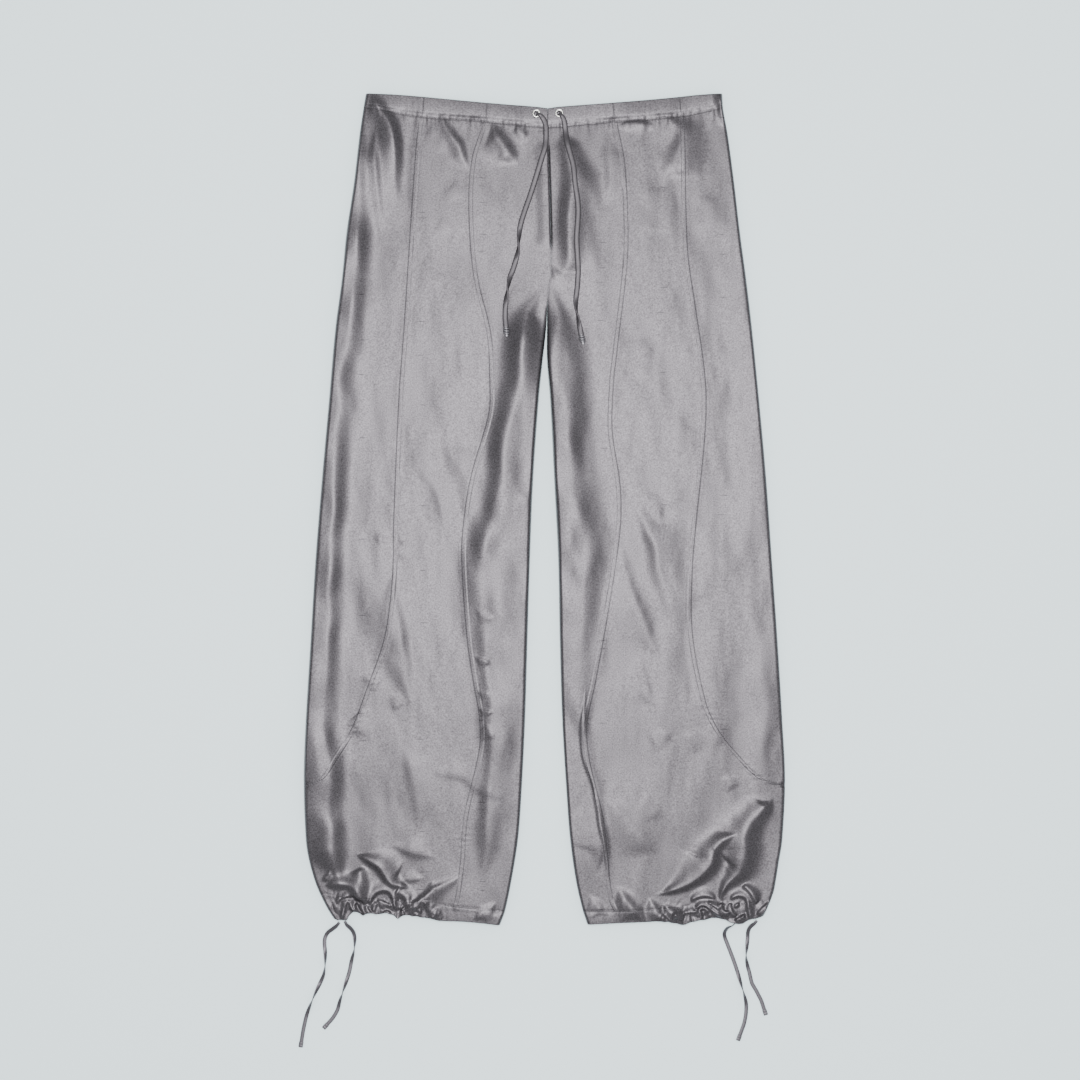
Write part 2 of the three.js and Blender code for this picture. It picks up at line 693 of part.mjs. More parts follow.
function punch(mesh, x, y) {
  const tall = 6 * restHeight; // through everything
  const cutter = new THREE.CylinderGeometry(punched, punched, tall, roundSides);
  cutter.rotateX(Math.PI / 2);
  cutter.translate(x, y, 0);
  const cut = solidOf(mesh.geometry).subtract(solidOf(cutter)).getMesh();
  const geometry = new THREE.BufferGeometry();
  geometry.setAttribute("position", new THREE.BufferAttribute(cut.vertProperties, 3));
  geometry.setIndex(new THREE.BufferAttribute(cut.triVerts, 1));
  mesh.geometry = geometry;
}

const bandTop = (leg, x, y) => frontHeight(leg, x, y) + bandRoll;

// The place itself and points round it at a distance
function around(x, y, reach, count) {
  const places = [[x, y]];
  for (let i = 0; i < count; i++) {
    const turn = (2 * Math.PI * i) / count;
    places.push([x + reach * Math.cos(turn), y + reach * Math.sin(turn)]);
  }
  return places;
}

// A rolled eyelet through the waist casing, its flange on the cloth
function buildEyelet({ leg: side, x, y }, band) {
  const leg = side === "right" ? rightLeg : leftLeg;
  punch(band, x, y);
  const heights = around(x, y, eyelet.flange, 12).map(([u, v]) => bandTop(leg, u, v));
  const seat = Math.max(...heights) + 2 * halfGap;
  const under = Math.min(...heights) - bandRoll - bandWall - 2 * halfGap;
  const profile = [
    [eyelet.hole, under - eyelet.roll], [eyelet.rolled, under - eyelet.roll], [eyelet.rolled, under],
    [eyelet.barrel, under], [eyelet.barrel, seat], [eyelet.flange, seat],
    [eyelet.flange - 0.4, seat + 0.8 * eyelet.rim], [eyelet.crown, seat + eyelet.rim],
    [eyelet.hole + 0.3, seat + 0.7 * eyelet.rim], [eyelet.hole, seat + 0.2],
    [eyelet.hole, under - eyelet.roll],
  ].map(([r, z]) => new THREE.Vector2(r, z));
  const ring = new THREE.LatheGeometry(profile, roundSides);
  ring.rotateX(Math.PI / 2);
  ring.translate(x, y, 0);
  addPiece("eyelet_" + side, facingOut(ring), nickel);
  return seat + eyelet.rim;
}

// Height of what a waist cord lies on, at its highest close by
function underCord(x, y) {
  const leg = x > leftLeg.innerAt(y) ? leftLeg : rightLeg;
  const heights = around(x, y, layReach, 8).map(([u, v]) => frontHeight(leg, u, v));
  const onBand = smoothstep(y, waistSeamY(x) - 10, waistSeamY(x));
  return Math.max(...heights) + bandRoll * onBand;
}

// A flat cord's section, its corners cut off
function cordSection({ width, thickness }) {
  const [a, b] = [thickness / 2, width / 2];
  const flat = b - 0.7 * a;
  const edge = 0.4 * a;
  const quarter = [[a, flat], [edge, b]];
  const half = [...quarter, ...quarter.map(([u, v]) => [-u, v]).reverse()];
  const outline = [...half, ...half.map(([u, v]) => [-u, -v])];
  return new THREE.Shape(outline.map(([u, v]) => new THREE.Vector2(u, v)));
}

// Middle of the hem casing's wall where a hem cord comes out of its edge
function hemMouth([x, y]) {
  const leg = x < 0 ? rightLeg : leftLeg;
  const out = leg.sign * x;
  return legPoint(leg, out, y, hemSwell(leg, out, 1)).z - hemWall / 2;
}

function buildCord({ name, size, route }, mouth) {
  const half = size.thickness / 2;
  const first = new THREE.Vector2(...route[0]);
  const points = route.map(([x, y]) => {
    const run = first.distanceTo(new THREE.Vector2(x, y));
    const lying = half + 2 * halfGap;
    const onFloor = lerp(hemMouth(route[0]), lying, smoothstep(run, 0, fallRun));
    const onCloth = Math.max(underCord(x, y), mouth - run * fallSlope) + half + cordLift;
    return new THREE.Vector3(x, y, size === waistCord ? onCloth : onFloor);
  });
  const path = new THREE.CatmullRomCurve3(points);
  const tube = new THREE.ExtrudeGeometry(cordSection(size), {
    steps: Math.round(path.getLength() / size.step),
    extrudePath: path,
    bevelEnabled: false,
  });
  addPiece(name, tube, cordStuff);
  const end = points[points.length - 1];
  const way = path.getTangent(1);
  const knot = new THREE.SphereGeometry(1, 12, 8);
  const [across, along, up] = size.knot;
  knot.scale(across, along, up);
  knot.rotateZ(Math.atan2(-way.x, way.y));
  const centre = end.clone().addScaledVector(way, along + halfGap);
  const clear = size === waistCord ? underCord(centre.x, centre.y) + up : up;
  knot.translate(centre.x, centre.y, clear + 2 * halfGap);
  addPiece(name.replace("cord", "knot"), knot, cordStuff);
}

for (const leg of [rightLeg, leftLeg]) {
  buildLeg(leg);
  buildHem(leg);
}
const bands = { right: buildWaist(rightLeg), left: buildWaist(leftLeg) };
const mouths = eyeletPlaces.map((place) => buildEyelet(place, bands[place.leg]));
cords.forEach((cord, i) => buildCord(cord, mouths[i] ?? 0));

export default group;
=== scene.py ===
# Wide-leg drawstring track pants in satin, lying flat on their back with the front up.
# The tables are in millimetres: +X is the wearer's left, +Y runs from hem to waist, +Z is up.
import math

import bpy
import numpy as np
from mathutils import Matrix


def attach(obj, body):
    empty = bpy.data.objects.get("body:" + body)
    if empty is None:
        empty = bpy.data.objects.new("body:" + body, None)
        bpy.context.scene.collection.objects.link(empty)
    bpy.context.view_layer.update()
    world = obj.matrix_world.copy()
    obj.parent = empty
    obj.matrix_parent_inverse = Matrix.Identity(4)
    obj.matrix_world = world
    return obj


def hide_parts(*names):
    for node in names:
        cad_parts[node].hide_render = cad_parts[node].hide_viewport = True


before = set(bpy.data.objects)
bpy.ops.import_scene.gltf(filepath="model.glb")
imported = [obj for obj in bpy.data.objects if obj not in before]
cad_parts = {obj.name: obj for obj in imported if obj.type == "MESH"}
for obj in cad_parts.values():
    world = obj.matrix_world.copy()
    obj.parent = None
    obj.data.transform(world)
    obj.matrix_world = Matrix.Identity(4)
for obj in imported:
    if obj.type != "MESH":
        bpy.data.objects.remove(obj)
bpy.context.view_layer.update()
metre = 0.001  # a millimetre in metres

# The camera, straight above: its place in metres, its lens and sensor in millimetres
camera = {"x": -0.0056, "y": -0.0381, "height": 3.2, "lens": 85.3, "sensor": 36}


def makeCamera():
    data = bpy.data.cameras.new("above")
    data.lens = camera["lens"]
    data.sensor_width = camera["sensor"]
    eye = bpy.data.objects.new("above", data)
    eye.location = (camera["x"], camera["y"], camera["height"])
    bpy.context.collection.objects.link(eye)
    bpy.context.scene.camera = eye


makeCamera()
print("camera made")

# The garment's own sizes, as in the frame
size = {
    "restHeight": 9.6,  # outer face of the front, away from folds
    "upperRound": 4,  # radius of a leg's edge where it turns down
    "lowerRound": 4,  # and where it turns under
    "edgeHeight": 4.5,
    "underTurn": 4,
    "underside": 0.3,  # the lowest cloth, which its stitches hold off the surface
    "crotchTop": 266,
    "crotchLow": 214,
    "pointTop": -334,
    "pointLow": -357,
    "pointWidth": 5,
    "halfGap": 0.15,  # each side of a seam
}
# The false fly, a lap on the right front
lap = {"rise": 1.4, "width": 22, "fade": 16, "top": 445, "low": 322, "endFade": 15, "groove": 0.9}

waistEdge = [
    (-223, 519), (-181, 517), (-124, 512), (-69, 507), (-9, 502), (4, 500.5),
    (16, 502), (81, 507), (142, 512), (192, 517), (222, 519),
]
waistSeam = [
    (-226, 501), (-152, 489), (-81, 484), (-31, 479), (4, 476.5), (38, 479),
    (86, 483), (128, 486), (176, 491), (223, 501),
]

rightLeg = {
    "name": "right",
    "sign": -1,
    "side": [
        (-223, 519), (-226, 501), (-231, 467), (-238, 407), (-247, 347), (-253, 287), (-261, 227),
        (-269, 137), (-278, 37), (-286, -63), (-292, -163), (-298, -263), (-300.5, -338),
        (-298, -413), (-294, -438), (-287, -463), (-281, -478), (-271, -498), (-262, -512),
    ],
    "inner": [
        (4, 501), (4, 484), (7, 387), (8, 303), (4, 263), (2, 224), (-2, 187), (-7, 137),
        (-14, 37), (-18, -63), (-21, -163), (-24, -263), (-29, -363), (-33, -413), (-41, -463),
        (-49, -501), (-56, -520),
    ],
    "outerSeam": [
        (-151, 515), (-153, 489), (-158, 449), (-173, 224), (-179, 142), (-186, -24), (-186, -57),
        (-189, -107), (-198, -163), (-221, -229), (-237, -271), (-256, -304), (-279, -337),
        (-298, -347),
    ],
    "innerSeam": [
        (-72, 507), (-74, 483), (-88, 437), (-92, 376), (-86, 292), (-69, 218), (-66, 162),
        (-67, 121), (-88, 46), (-97, -3), (-101, -58), (-94, -163), (-86, -217), (-79, -258),
        (-79, -299), (-98, -383), (-103, -444), (-109, -486), (-117, -513),
    ],
    "hemSeam": [
        (-290, -477), (-268, -480), (-243, -484), (-191, -485), (-162, -487), (-137, -490),
        (-111, -494), (-82, -497), (-49, -501),
    ],
    "hemEdge": [
        (-262, -511), (-257, -512), (-246, -512), (-242, -503.5), (-232.5, -502.5), (-226, -507),
        (-221, -503.6), (-210.5, -505), (-199, -503.6), (-195, -504.2), (-188.5, -506),
        (-183.5, -510.2), (-176, -506), (-163, -507.5), (-150, -509), (-131, -513), (-106, -514),
        (-81, -516), (-56, -519),
    ],
    "gathers": (-262, -120),
}
leftLeg = {
    "name": "left",
    "sign": 1,
    "side": [
        (222, 519), (223, 501), (229, 467), (237, 407), (244, 347), (252, 287), (259, 227),
        (268, 137), (277, 37), (284, -63), (291, -163), (297, -263), (300.5, -338), (297, -413),
        (293, -438), (289, -463), (286, -478), (278, -498), (272, -510),
    ],
    "inner": [
        (4, 501), (4, 477), (7, 387), (8, 303), (4, 263), (3, 224), (3, 187), (7, 137), (12, 37),
        (17, -63), (19, -163), (22, -263), (28, -363), (32, -413), (39, -463), (47, -498),
        (54, -520),
    ],
    "outerSeam": [
        (169, 515), (171, 491), (173, 437), (174, 376), (177, 313), (186, 251), (198, 162),
        (198, 99), (186, -24), (182, -74), (182, -154), (198, -238), (212, -271), (233, -299),
        (271, -337), (299, -348),
    ],
    "innerSeam": [
        (86, 507), (88, 483), (97, 437), (101, 376), (101, 313), (88, 197), (84, 162), (82, 99),
        (92, 29), (92, -24), (77, -128), (61, -217), (51, -267), (53, -308), (72, -391), (83, -486),
        (97, -514),
    ],
    "hemSeam": [
        (292, -486), (276, -488), (244, -491), (213, -492), (182, -494), (132, -498), (83, -500),
        (47, -500),
    ],
    "hemEdge": [
        (272, -508), (266, -510), (259, -511.5), (254, -512.5), (246, -516.5), (233, -515.5),
        (224, -511.5), (214, -509.5), (200, -511.5), (184, -514.5), (172.5, -518), (157.5, -515.5),
        (144.5, -514), (120, -515), (94, -516), (54, -518),
    ],
    "gathers": (268, 128),
}


# A crease runs along its steep face. `crest` is 1 where it rises on the right of the way it
# runs and -1 on the left. Widths and rise may change along it, from first to last.
def crease(line, steep, gentle, rise, crest, fade=0.35):
    return {"line": line, "steep": steep, "gentle": gentle, "rise": rise, "crest": crest, "fade": fade}


rightLeg["creases"] = [
    # hip to hem, in from the side
    crease(
        [(-224, 480), (-225, 386), (-226, 303), (-234, 206), (-245, 150), (-252, 57), (-258, -40),
         (-263, -163), (-264, -276), (-259, -320), (-256, -412), (-254, -470)],
        [12, 15, 19, 14, 14, 16, 15], [40, 60, 70, 70, 70, 70, 60],
        [4, 5.4, 6, 5.4, 5, 5.4, 6, 6.4], 1, 0.05,
    ),
    crease([(-212, 478), (-209, 440), (-206, 400), (-203, 364), (-200, 326)],
           6.5, 12, [1.6, 2.6, 2, 0.9, 0.1], 1),
    crease([(-214, 522), (-193, 489), (-183, 452), (-181, 396), (-174, 345), (-170, 318)],
           [8, 8, 9, 11, 13], [18, 20, 24, 26], [4.5, 5.2, 5, 3.8, 1.8, 0.4, 0], 1, 0.1),
    crease([(-128, 492), (-113, 468), (-105, 456), (-101, 440), (-91, 417)], 6, 11, [2.2, 2, 0.9], 1),
    crease([(-139, 487), (-131, 466), (-123, 440)], 5, 12, 0.5, 1),
    crease([(-66, 484), (-55, 468), (-45, 453), (-37, 441), (-30, 430)],
           [5, 8, 9, 7], [10, 16, 18], [1.2, 2.8, 2.8, 1.2], 1, 0.3),
    crease([(-70, 462), (-60, 434)], 5, 12, 0.6, 1),
    crease([(-36, 481), (-28, 471), (-17, 462)], 4, 7, 1.2, 1),
    crease([(-113, 411), (-98, 389)], 7.5, 14, 0.3, 1),
    crease([(-127, 367), (-111, 346)], 7.5, 14, 0.3, 1),
    crease([(-142, 323), (-123, 273)], 8.8, 16, 0.3, 1),
    # down the inseam from the crotch
    crease(
        [(-4, 278), (-18, 261), (-31, 241), (-45, 181), (-49, 129), (-58, 92), (-64, 51), (-73, 10),
         (-84, -47), (-87, -110), (-83, -170), (-78, -222), (-74, -262), (-73, -312), (-77, -360),
         (-79, -470)],
        [12, 18, 21, 20, 18, 16, 14, 12, 12, 13], [26, 40, 60, 60, 56, 50, 46, 42],
        [5.6, 7, 6.8, 6.2, 5.2, 4.4, 4, 3.4, 2.6, 2.8, 2.6], -1, 0.1,
    ),
    crease([(-88, -125), (-76, -129), (-60, -138)], 2, 8, 1, 1),
    crease([(-88, -182), (-76, -185), (-64, -191)], 2, 8, 1, 1),
    crease([(-84, -224), (-66, -227)], 2, 7, 0.8, 1),
    crease([(-82, -246), (-62, -252)], 2, 8, 1.1, 1),
    crease([(-74, -264), (-61, -287)], 5, 9, 0.7, 1),
    crease([(-34, 16), (-18, 4)], 5, 9, 0.6, -1),
    # centre panel
    crease([(-161, 54), (-146, 36), (-136, 16), (-126, -24)], 6.2, 18, 0.54, -1),
    crease([(-130, 90), (-109, 40), (-98, -20)], 12, 30, 1.6, -1),
    crease([(-218, 46), (-217, 16), (-229, -37)], 10, 20, 0.36, -1),
    crease([(-201, -31), (-208, -43)], 3.8, 6, 0.54, 1),
    crease([(-183, -31), (-173, -46)], 3.8, 7, 0.6, -1),
    crease([(-186, -49), (-173, -64)], 3.8, 8, 0.66, -1),
    crease([(-186, -68), (-183, -113), (-171, -167), (-167, -208), (-167, -252)],
           [7, 10, 10], [20, 30, 26], [1.2, 2.3, 2], 1),
    crease([(-228, -206), (-209, -229)], 6.2, 12, 0.72, -1),
    crease([(-234, -243), (-223, -254), (-221, -289)], 8.8, 16, 0.84, 1),
    crease([(-193, -227), (-186, -254)], 6.2, 12, 0.42, -1),
    crease([(-183, -287), (-177, -317), (-169, -343), (-158, -406)], 10, 20, 0.9, -1),
    crease([(-147, -324), (-128, -333), (-104, -338), (-88, -352), (-43, -366)], 6.2, 16, 0.54, -1),
    # over the ankle
    crease([(-194, -417), (-172, -429), (-156, -433), (-134, -435)], 7, 16, 1.3, -1, 0.45),
    crease([(-186, -461), (-168, -464), (-148, -460)], 4, 9, 0.8, -1),
    crease([(-236, -429), (-218, -441), (-207.6, -448.5), (-201.8, -457.2), (-195.2, -465.8),
            (-186.5, -470.5), (-166, -472.5)], [2.6, 3.4, 4.6, 4.4, 3.6, 3.4], [12, 16, 16, 12],
           [1.6, 3.8, 5, 4.8, 3.6, 2], -1, 0.16),
    crease([(-227, -444), (-223, -464), (-220, -479), (-223, -494)],
           [7, 9, 6], [12, 9], [3, 4.2, 3.6], 1, 0.15),
    crease([(-278.4, -464), (-265.9, -448.6)], 2, 6, 1.6, 1),
    crease([(-275, -469.5), (-255, -470.5), (-243, -472.8), (-233.4, -484), (-229.6, -494)],
           [3, 6, 5, 3], [10, 8], [1.8, 4.4, 4.6, 3], -1, 0.2),
    crease([(-188, -478), (-177, -484), (-173, -496)], 5, 8, 3, -1, 0.15),
    crease([(-177, -501), (-166, -491.5), (-154, -483), (-140, -472), (-121, -463), (-104, -456)],
           [3.4, 3.8, 4, 3.4], [10, 12, 9], [3.6, 4.4, 3.2, 1.2, 0.6], 1, 0.14),
    crease([(-140, -462), (-134, -474)], 3, 7, 0.8, 1),
    crease([(-92, -512), (-78, -500), (-58, -488)], 5, 9, 1.2, 1, 0.4),
    # where the hem is drawn in
    crease([(-217.5, -494), (-214.3, -485), (-208.5, -478.7), (-199.9, -476.3), (-193.2, -479.2),
            (-189.4, -487.8), (-187, -498)], [2, 2.4, 2], [6, 9, 6.8], [2.4, 3.2, 2.8], -1, 0.1),
    crease([(-210.5, -487), (-203.8, -487.6), (-196, -490.6), (-189, -494.5)], 1.7, 6, 1.5, 1, 0.2),
    crease([(-213, -503), (-209.5, -494.5), (-206.5, -489.5)], 1.8, 5.1, 1.8, -1, 0.2),
    crease([(-259.5, -492), (-253.5, -485.9), (-245.8, -483), (-238.2, -482), (-234, -489)],
           1.9, 6.8, [1.6, 2.6, 2], -1, 0.12),
    crease([(-251.6, -511), (-247.8, -496.4), (-244.9, -489.7), (-242, -496.4), (-237, -503)],
           1.6, 4.8, 2.2, -1, 0.12),
    crease([(-234, -489), (-229.6, -498), (-222.5, -506)], 2, 5.4, 2.6, 1, 0.15),
    crease([(-221, -492), (-219, -499), (-213, -504)], 1.7, 5.1, 1.6, 1, 0.2),
    crease([(-203, -504), (-197, -500), (-190, -504)], 1.7, 4.8, 1.8, 1, 0.2),
    crease([(-189, -496.5), (-182, -497.6), (-175, -496.5)], 1.7, 5.1, 1.8, -1, 0.2),
    crease([(-177, -498), (-174, -508)], 1.6, 4.8, 1.8, 1, 0.2),
    crease([(-166, -495.5), (-153, -504)], 1.7, 6, 1.8, -1, 0.2),
    crease([(-170, -501), (-158, -508)], 1.6, 5.1, 1.2, -1, 0.2),
    crease([(-153, -487), (-147, -498), (-139, -514)], [3, 5], 9, [1.6, 3], -1, 0.2),
    crease([(-132, -495), (-128, -512)], 3, 6, 1, 1, 0.2),
]
leftLeg["creases"] = [
    crease([(233, 440), (241, 219), (240, 150), (243, 60), (252, -60), (262, -200), (270, -320)],
           [12, 15, 17, 15, 13, 14, 15], [40, 50, 50, 46], [0.8, 1.5, 1.9, 1.2, 0.8, 1, 1.6], -1, 0.1),
    crease([(209, 522), (221, 496), (227, 470)], [7, 8, 8], 14, [3.6, 3.6, 2], -1),
    crease([(193, 402), (197, 364), (196, 338)], 8.8, 18, 0.42, -1),
    crease([(146, 489), (159, 476), (164, 462), (158, 444), (150, 424), (146, 404)],
           [7, 10, 13, 12], [18, 26, 28], [1.2, 2.8, 3.2, 1.2], -1, 0.3),
    crease([(90, 478), (112, 484), (140, 480)], 3.5, 8, 1.6, 1, 0.3),
    crease([(127, 425), (121, 396), (129, 371), (119, 348), (127, 328)], 11.2, 20, 0.66, -1),
    crease([(86, 470), (77, 448), (77, 421), (73, 376)], 9, 20, 0.9, -1),
    # beside the fly
    crease([(20, 470), (24, 440), (27, 400), (24, 354), (26, 316), (21, 290)],
           [10, 12, 12, 10], [22, 26, 24], [2.8, 4.2, 4.2, 2.8], -1, 0.12),
    crease([(7, 302), (20, 294), (42, 291)], 3.4, 8, [1.4, 1, 0.5], 1),
    crease([(44, 380), (56, 345), (66, 292)], 16.2, 28, 0.78, 1, 0.45),
    # down the inseam from the crotch
    crease(
        [(12, 284), (18, 262), (26, 240), (31, 212), (35, 181), (39, 149), (42, 110), (45, 74),
         (49, 20), (60, -37), (57, -99), (53, -222), (54, -280), (62, -320)],
        [14, 20, 22, 20, 17, 15, 13, 12], [28, 44, 56, 56, 50, 46], [6, 7, 7, 6.2, 4.8, 3.2, 2, 1.2], 1, 0.15,
    ),
    crease([(57, -340), (68, -384), (74, -422), (64, -456)], 8, 22, [1.4, 2, 1.6], 1),
    crease([(52, -215), (46, -268), (49, -308), (59, -345), (68, -391), (75, -430), (80, -470)],
           2.6, 9, [0.6, 1.3, 1.5, 0.8], -1, 0.2),
    # across the centre panel at the knee
    crease([(117, 26), (129, 4), (148, -18)], 5, 12, 0.6, -1),
    crease([(102, 6), (117, -9), (127, -31), (136, -49), (139, -78), (149, -112), (154, -129),
            (170, -171)],
           [7, 11, 13, 13], [22, 32, 34, 30], [1, 2.6, 2.2, 1.2], -1, 0.3),
    crease([(94, -37), (104, -78), (117, -109), (136, -162), (148, -192)],
           [7, 9, 9], [20, 24, 22], [0.9, 1.3, 1], 1, 0.3),
    crease([(117, -176), (133, -227), (143, -248)], 7.5, 16, 0.6, 1),
    crease([(173, 121), (164, 98), (161, 60)], 10, 20, 0.6, -1),
    crease([(148, 29), (152, 0)], 7.5, 14, 0.36, -1),
    crease([(218, -58), (233, -88)], 6.2, 14, 0.36, -1),
    crease([(139, 199), (118, 187)], 5, 10, 0.3, 1),
    crease([(139, 215), (128, 187), (131, 160)], 11.2, 22, 0.42, 1),
    # over the ankle
    crease([(160, -276), (136, -303)], 6.2, 12, 0.54, 1),
    crease([(175, -272), (186, -308)], 6.2, 12, 0.48, -1),
    crease([(207, -258), (212, -300)], 6.2, 12, 0.48, -1),
    crease([(222, -332), (230, -354)], 6.2, 11, 0.6, -1),
    crease([(71, -353), (97, -373), (117, -398), (148, -430)], 11, 26, 1.2, 1),
    crease([(122, -350), (151, -385)], 7.5, 16, 0.54, 1),
    crease([(284, -358), (279, -369), (270, -381), (262, -394), (258, -410), (259, -424), (256, -440),
            (249, -454), (239, -462.5), (229.5, -469.5), (223, -478), (220.8, -485), (224.5, -491)],
           [4, 9, 13, 15, 15, 14, 8, 3, 2.2], [16, 20, 24, 22, 14, 8],
           [2.4, 5.6, 7.6, 8, 7.6, 6, 3.4, 2.4], 1, 0.12),
    crease([(245, -470), (252, -474.4), (258, -482.4), (264, -493)], 3, 7, [2.2, 3.4, 3], -1, 0.15),
    crease([(287, -359), (244, -363)], 6.2, 12, 0.54, -1),
    crease([(243, -402), (230, -411), (220, -420), (215, -429), (214, -438), (209, -448), (199, -458),
            (186, -467), (170, -474), (155, -478), (138, -481)],
           [4, 7, 8.5, 8, 5, 3.4, 3], [14, 20, 20, 12], [1.8, 4.4, 6, 6, 4.8, 3.4, 1.4], 1, 0.16),
    crease([(146, -489), (158, -497), (170, -503), (174, -517)], [4, 5.5, 4], [8, 12, 8], [1.8, 3.4, 2.8], 1),
    crease([(145, -503), (158, -514)], 2.4, 9, 2, 1),
    crease([(161, -500), (168, -509), (173.5, -518)], 2.6, 6, 2.4, 1, 0.2),
    crease([(90, -466), (106, -486), (118, -500), (128, -516)], 8, 14, [1.6, 3.4, 3.2, 2.6], 1, 0.4),
    crease([(130, -482), (141, -496), (152, -516)], 5, 9, [1.4, 2.4, 2], 1, 0.3),
    crease([(56, -480), (68, -492), (80, -506)], 6, 10, 1.3, 1, 0.4),
    # where the hem is drawn in
    crease([(182, -490), (188.3, -485.6), (196.2, -483.4), (204.2, -483.4), (214, -486.5)],
           1.9, 7.5, [1.6, 2.4, 1.8], -1, 0.15),
    crease([(189, -501), (193.2, -495.4), (200.2, -494.7), (206.2, -499.4), (214.2, -505.3), (223, -510)],
           2, 6.6, [2.6, 3, 2.4], -1, 0.12),
    crease([(202, -489.6), (210.2, -494.4), (218.5, -501.4)], 1.8, 6, 2.2, -1, 0.2),
    crease([(193.5, -499), (197.2, -505.3), (195.6, -513)], 2.2, 6, 2.6, -1, 0.2),
    crease([(171, -504.4), (182, -503.2), (193, -502.2)], 1.6, 5.1, 1.8, -1, 0.2),
    crease([(221.5, -489), (224.1, -499.4), (232, -500.4)], 2.2, 6, 2.8, 1, 0.15),
    crease([(231, -487), (238.1, -483.4), (245.1, -482.9), (250.1, -485.6), (252.1, -491.4),
            (253, -500.4), (255.4, -512)], [1.9, 1.9, 2.2], [7.5, 6], [2, 2.8, 2.6], -1, 0.1),
    crease([(232.1, -489.4), (234.1, -499.4), (240, -507.5)], 1.7, 5.1, 2.2, 1, 0.15),
    crease([(236.5, -497), (238, -492.6), (242.4, -489.6)], 1.8, 5.1, 1.8, 1, 0.2),
    crease([(236, -512), (243, -508), (250, -503.6)], 1.7, 5.4, 3, 1, 0.2),
    crease([(285, -483), (279, -490), (272, -495.6), (263, -505)], 2, 7.5, [2, 2.8, 2.6], -1, 0.12),
    crease([(280, -494), (272.6, -500), (267, -507)], 1.6, 5.1, 1.8, -1, 0.2),
]


def lineThrough(points, along, across):
    # a smooth line through the points: value at index `across` for a given one at `along`
    p = np.array(sorted((q[along], q[across]) for q in points), float)
    at, value = p[:, 0], p[:, 1]
    last = len(p) - 1
    before = np.maximum(np.arange(len(p)) - 1, 0)
    after = np.minimum(np.arange(len(p)) + 1, last)
    slope = (value[after] - value[before]) / (at[after] - at[before])

    def line(where):
        where = np.clip(where, at[0], at[last])
        i = np.clip(np.searchsorted(at, where, side="right") - 1, 0, last - 1)
        run = at[i + 1] - at[i]
        t = (where - at[i]) / run
        rest = 1 - t
        ends = rest * rest * (1 + 2 * t) * value[i] + t * t * (3 - 2 * t) * value[i + 1]
        return ends + run * t * rest * (rest * slope[i] - t * slope[i + 1])

    return line


def curveThrough(points, count):
    # `count` points at even steps on a smooth curve through the given ones
    p = np.array(points, float)
    ends = np.vstack([2 * p[0] - p[1], p, 2 * p[-1] - p[-2]])
    t = np.linspace(0, len(p) - 1, 40 * len(p))
    i = np.minimum(t.astype(int), len(p) - 2)
    t = (t - i)[:, None]
    a, b, c, d = (ends[i + k] for k in range(4))
    fine = b + 0.5 * t * (c - a + t * (2 * a - 5 * b + 4 * c - d + t * (3 * b - a - 3 * c + d)))
    way = np.concatenate([[0], np.cumsum(np.linalg.norm(np.diff(fine, axis=0), axis=1))])
    even = np.linspace(0, way[-1], count)
    return np.stack([np.interp(even, way, fine[:, k]) for k in range(p.shape[1])], axis=1)


def smooth(value, low, high):
    t = np.clip((value - low) / (high - low), 0, 1)
    return t * t * (3 - 2 * t)


def mix(a, b, share):
    return a + (b - a) * share


def bell(distance, width):
    # 1 on a line, falling off smoothly to both sides of it
    return np.exp(-((distance / width) ** 2))


def softNoise(x, y, seed):
    # smooth random values from -1 to 1 on a unit grid
    table = np.random.default_rng(seed).uniform(-1, 1, (64, 64))
    i, j = np.floor(x).astype(int), np.floor(y).astype(int)
    u, v = x - i, y - j
    u, v = u * u * (3 - 2 * u), v * v * (3 - 2 * v)
    low = mix(table[i % 64, j % 64], table[(i + 1) % 64, j % 64], u)
    high = mix(table[i % 64, (j + 1) % 64], table[(i + 1) % 64, (j + 1) % 64], u)
    return mix(low, high, v)


def alongCrease(values, along):
    values = np.atleast_1d(np.array(values, float))
    return np.interp(along, np.linspace(0, 1, len(values)), values)


waistEdgeY = lineThrough(waistEdge, 0, 1)
waistSeamY = lineThrough(waistSeam, 0, 1)
for leg in (rightLeg, leftLeg):
    for line in ("side", "inner", "outerSeam", "innerSeam"):
        leg[line + "X"] = lineThrough(leg[line], 1, 0)
    leg["hemSeamY"] = lineThrough(leg["hemSeam"], 0, 1)
    leg["hemEdgeY"] = lineThrough(leg["hemEdge"], 0, 1)
    for each in leg["creases"]:
        each["steps"] = curveThrough(each["line"], 5 * len(each["line"]))

# Seams as outward distances from the middle, measured along the cloth's front
upperArc = size["upperRound"] * math.pi / 2
lowerArc = size["lowerRound"] * math.pi / 2
turnedUnder = upperArc + lowerArc + size["underTurn"]


def outward(leg, line, y):
    return leg["sign"] * leg[line + "X"](y)


def roundness(y):  # of a leg's inner edge: 0 where the fronts meet and 1 below the crotch
    return 1 - smooth(y, size["crotchLow"], size["crotchTop"])


def sideEnd(leg, y):
    return outward(leg, "side", y) - size["upperRound"]


def innerEnd(leg, y):
    return outward(leg, "inner", y) + size["halfGap"] + size["upperRound"]


def sideTurn(leg, y):
    return sideEnd(leg, y) + turnedUnder


def innerTurn(leg, y):
    return innerEnd(leg, y) - mix(size["upperRound"], turnedUnder, roundness(y))


def outerSeamOut(leg, y):
    near = 1 - smooth(y, size["pointLow"], size["pointTop"])
    return mix(outward(leg, "outerSeam", y), sideTurn(leg, y), near)


def innerSeamOut(leg, y):
    return outward(leg, "innerSeam", y)


def middleOut(leg, y):
    return outward(leg, "inner", y)


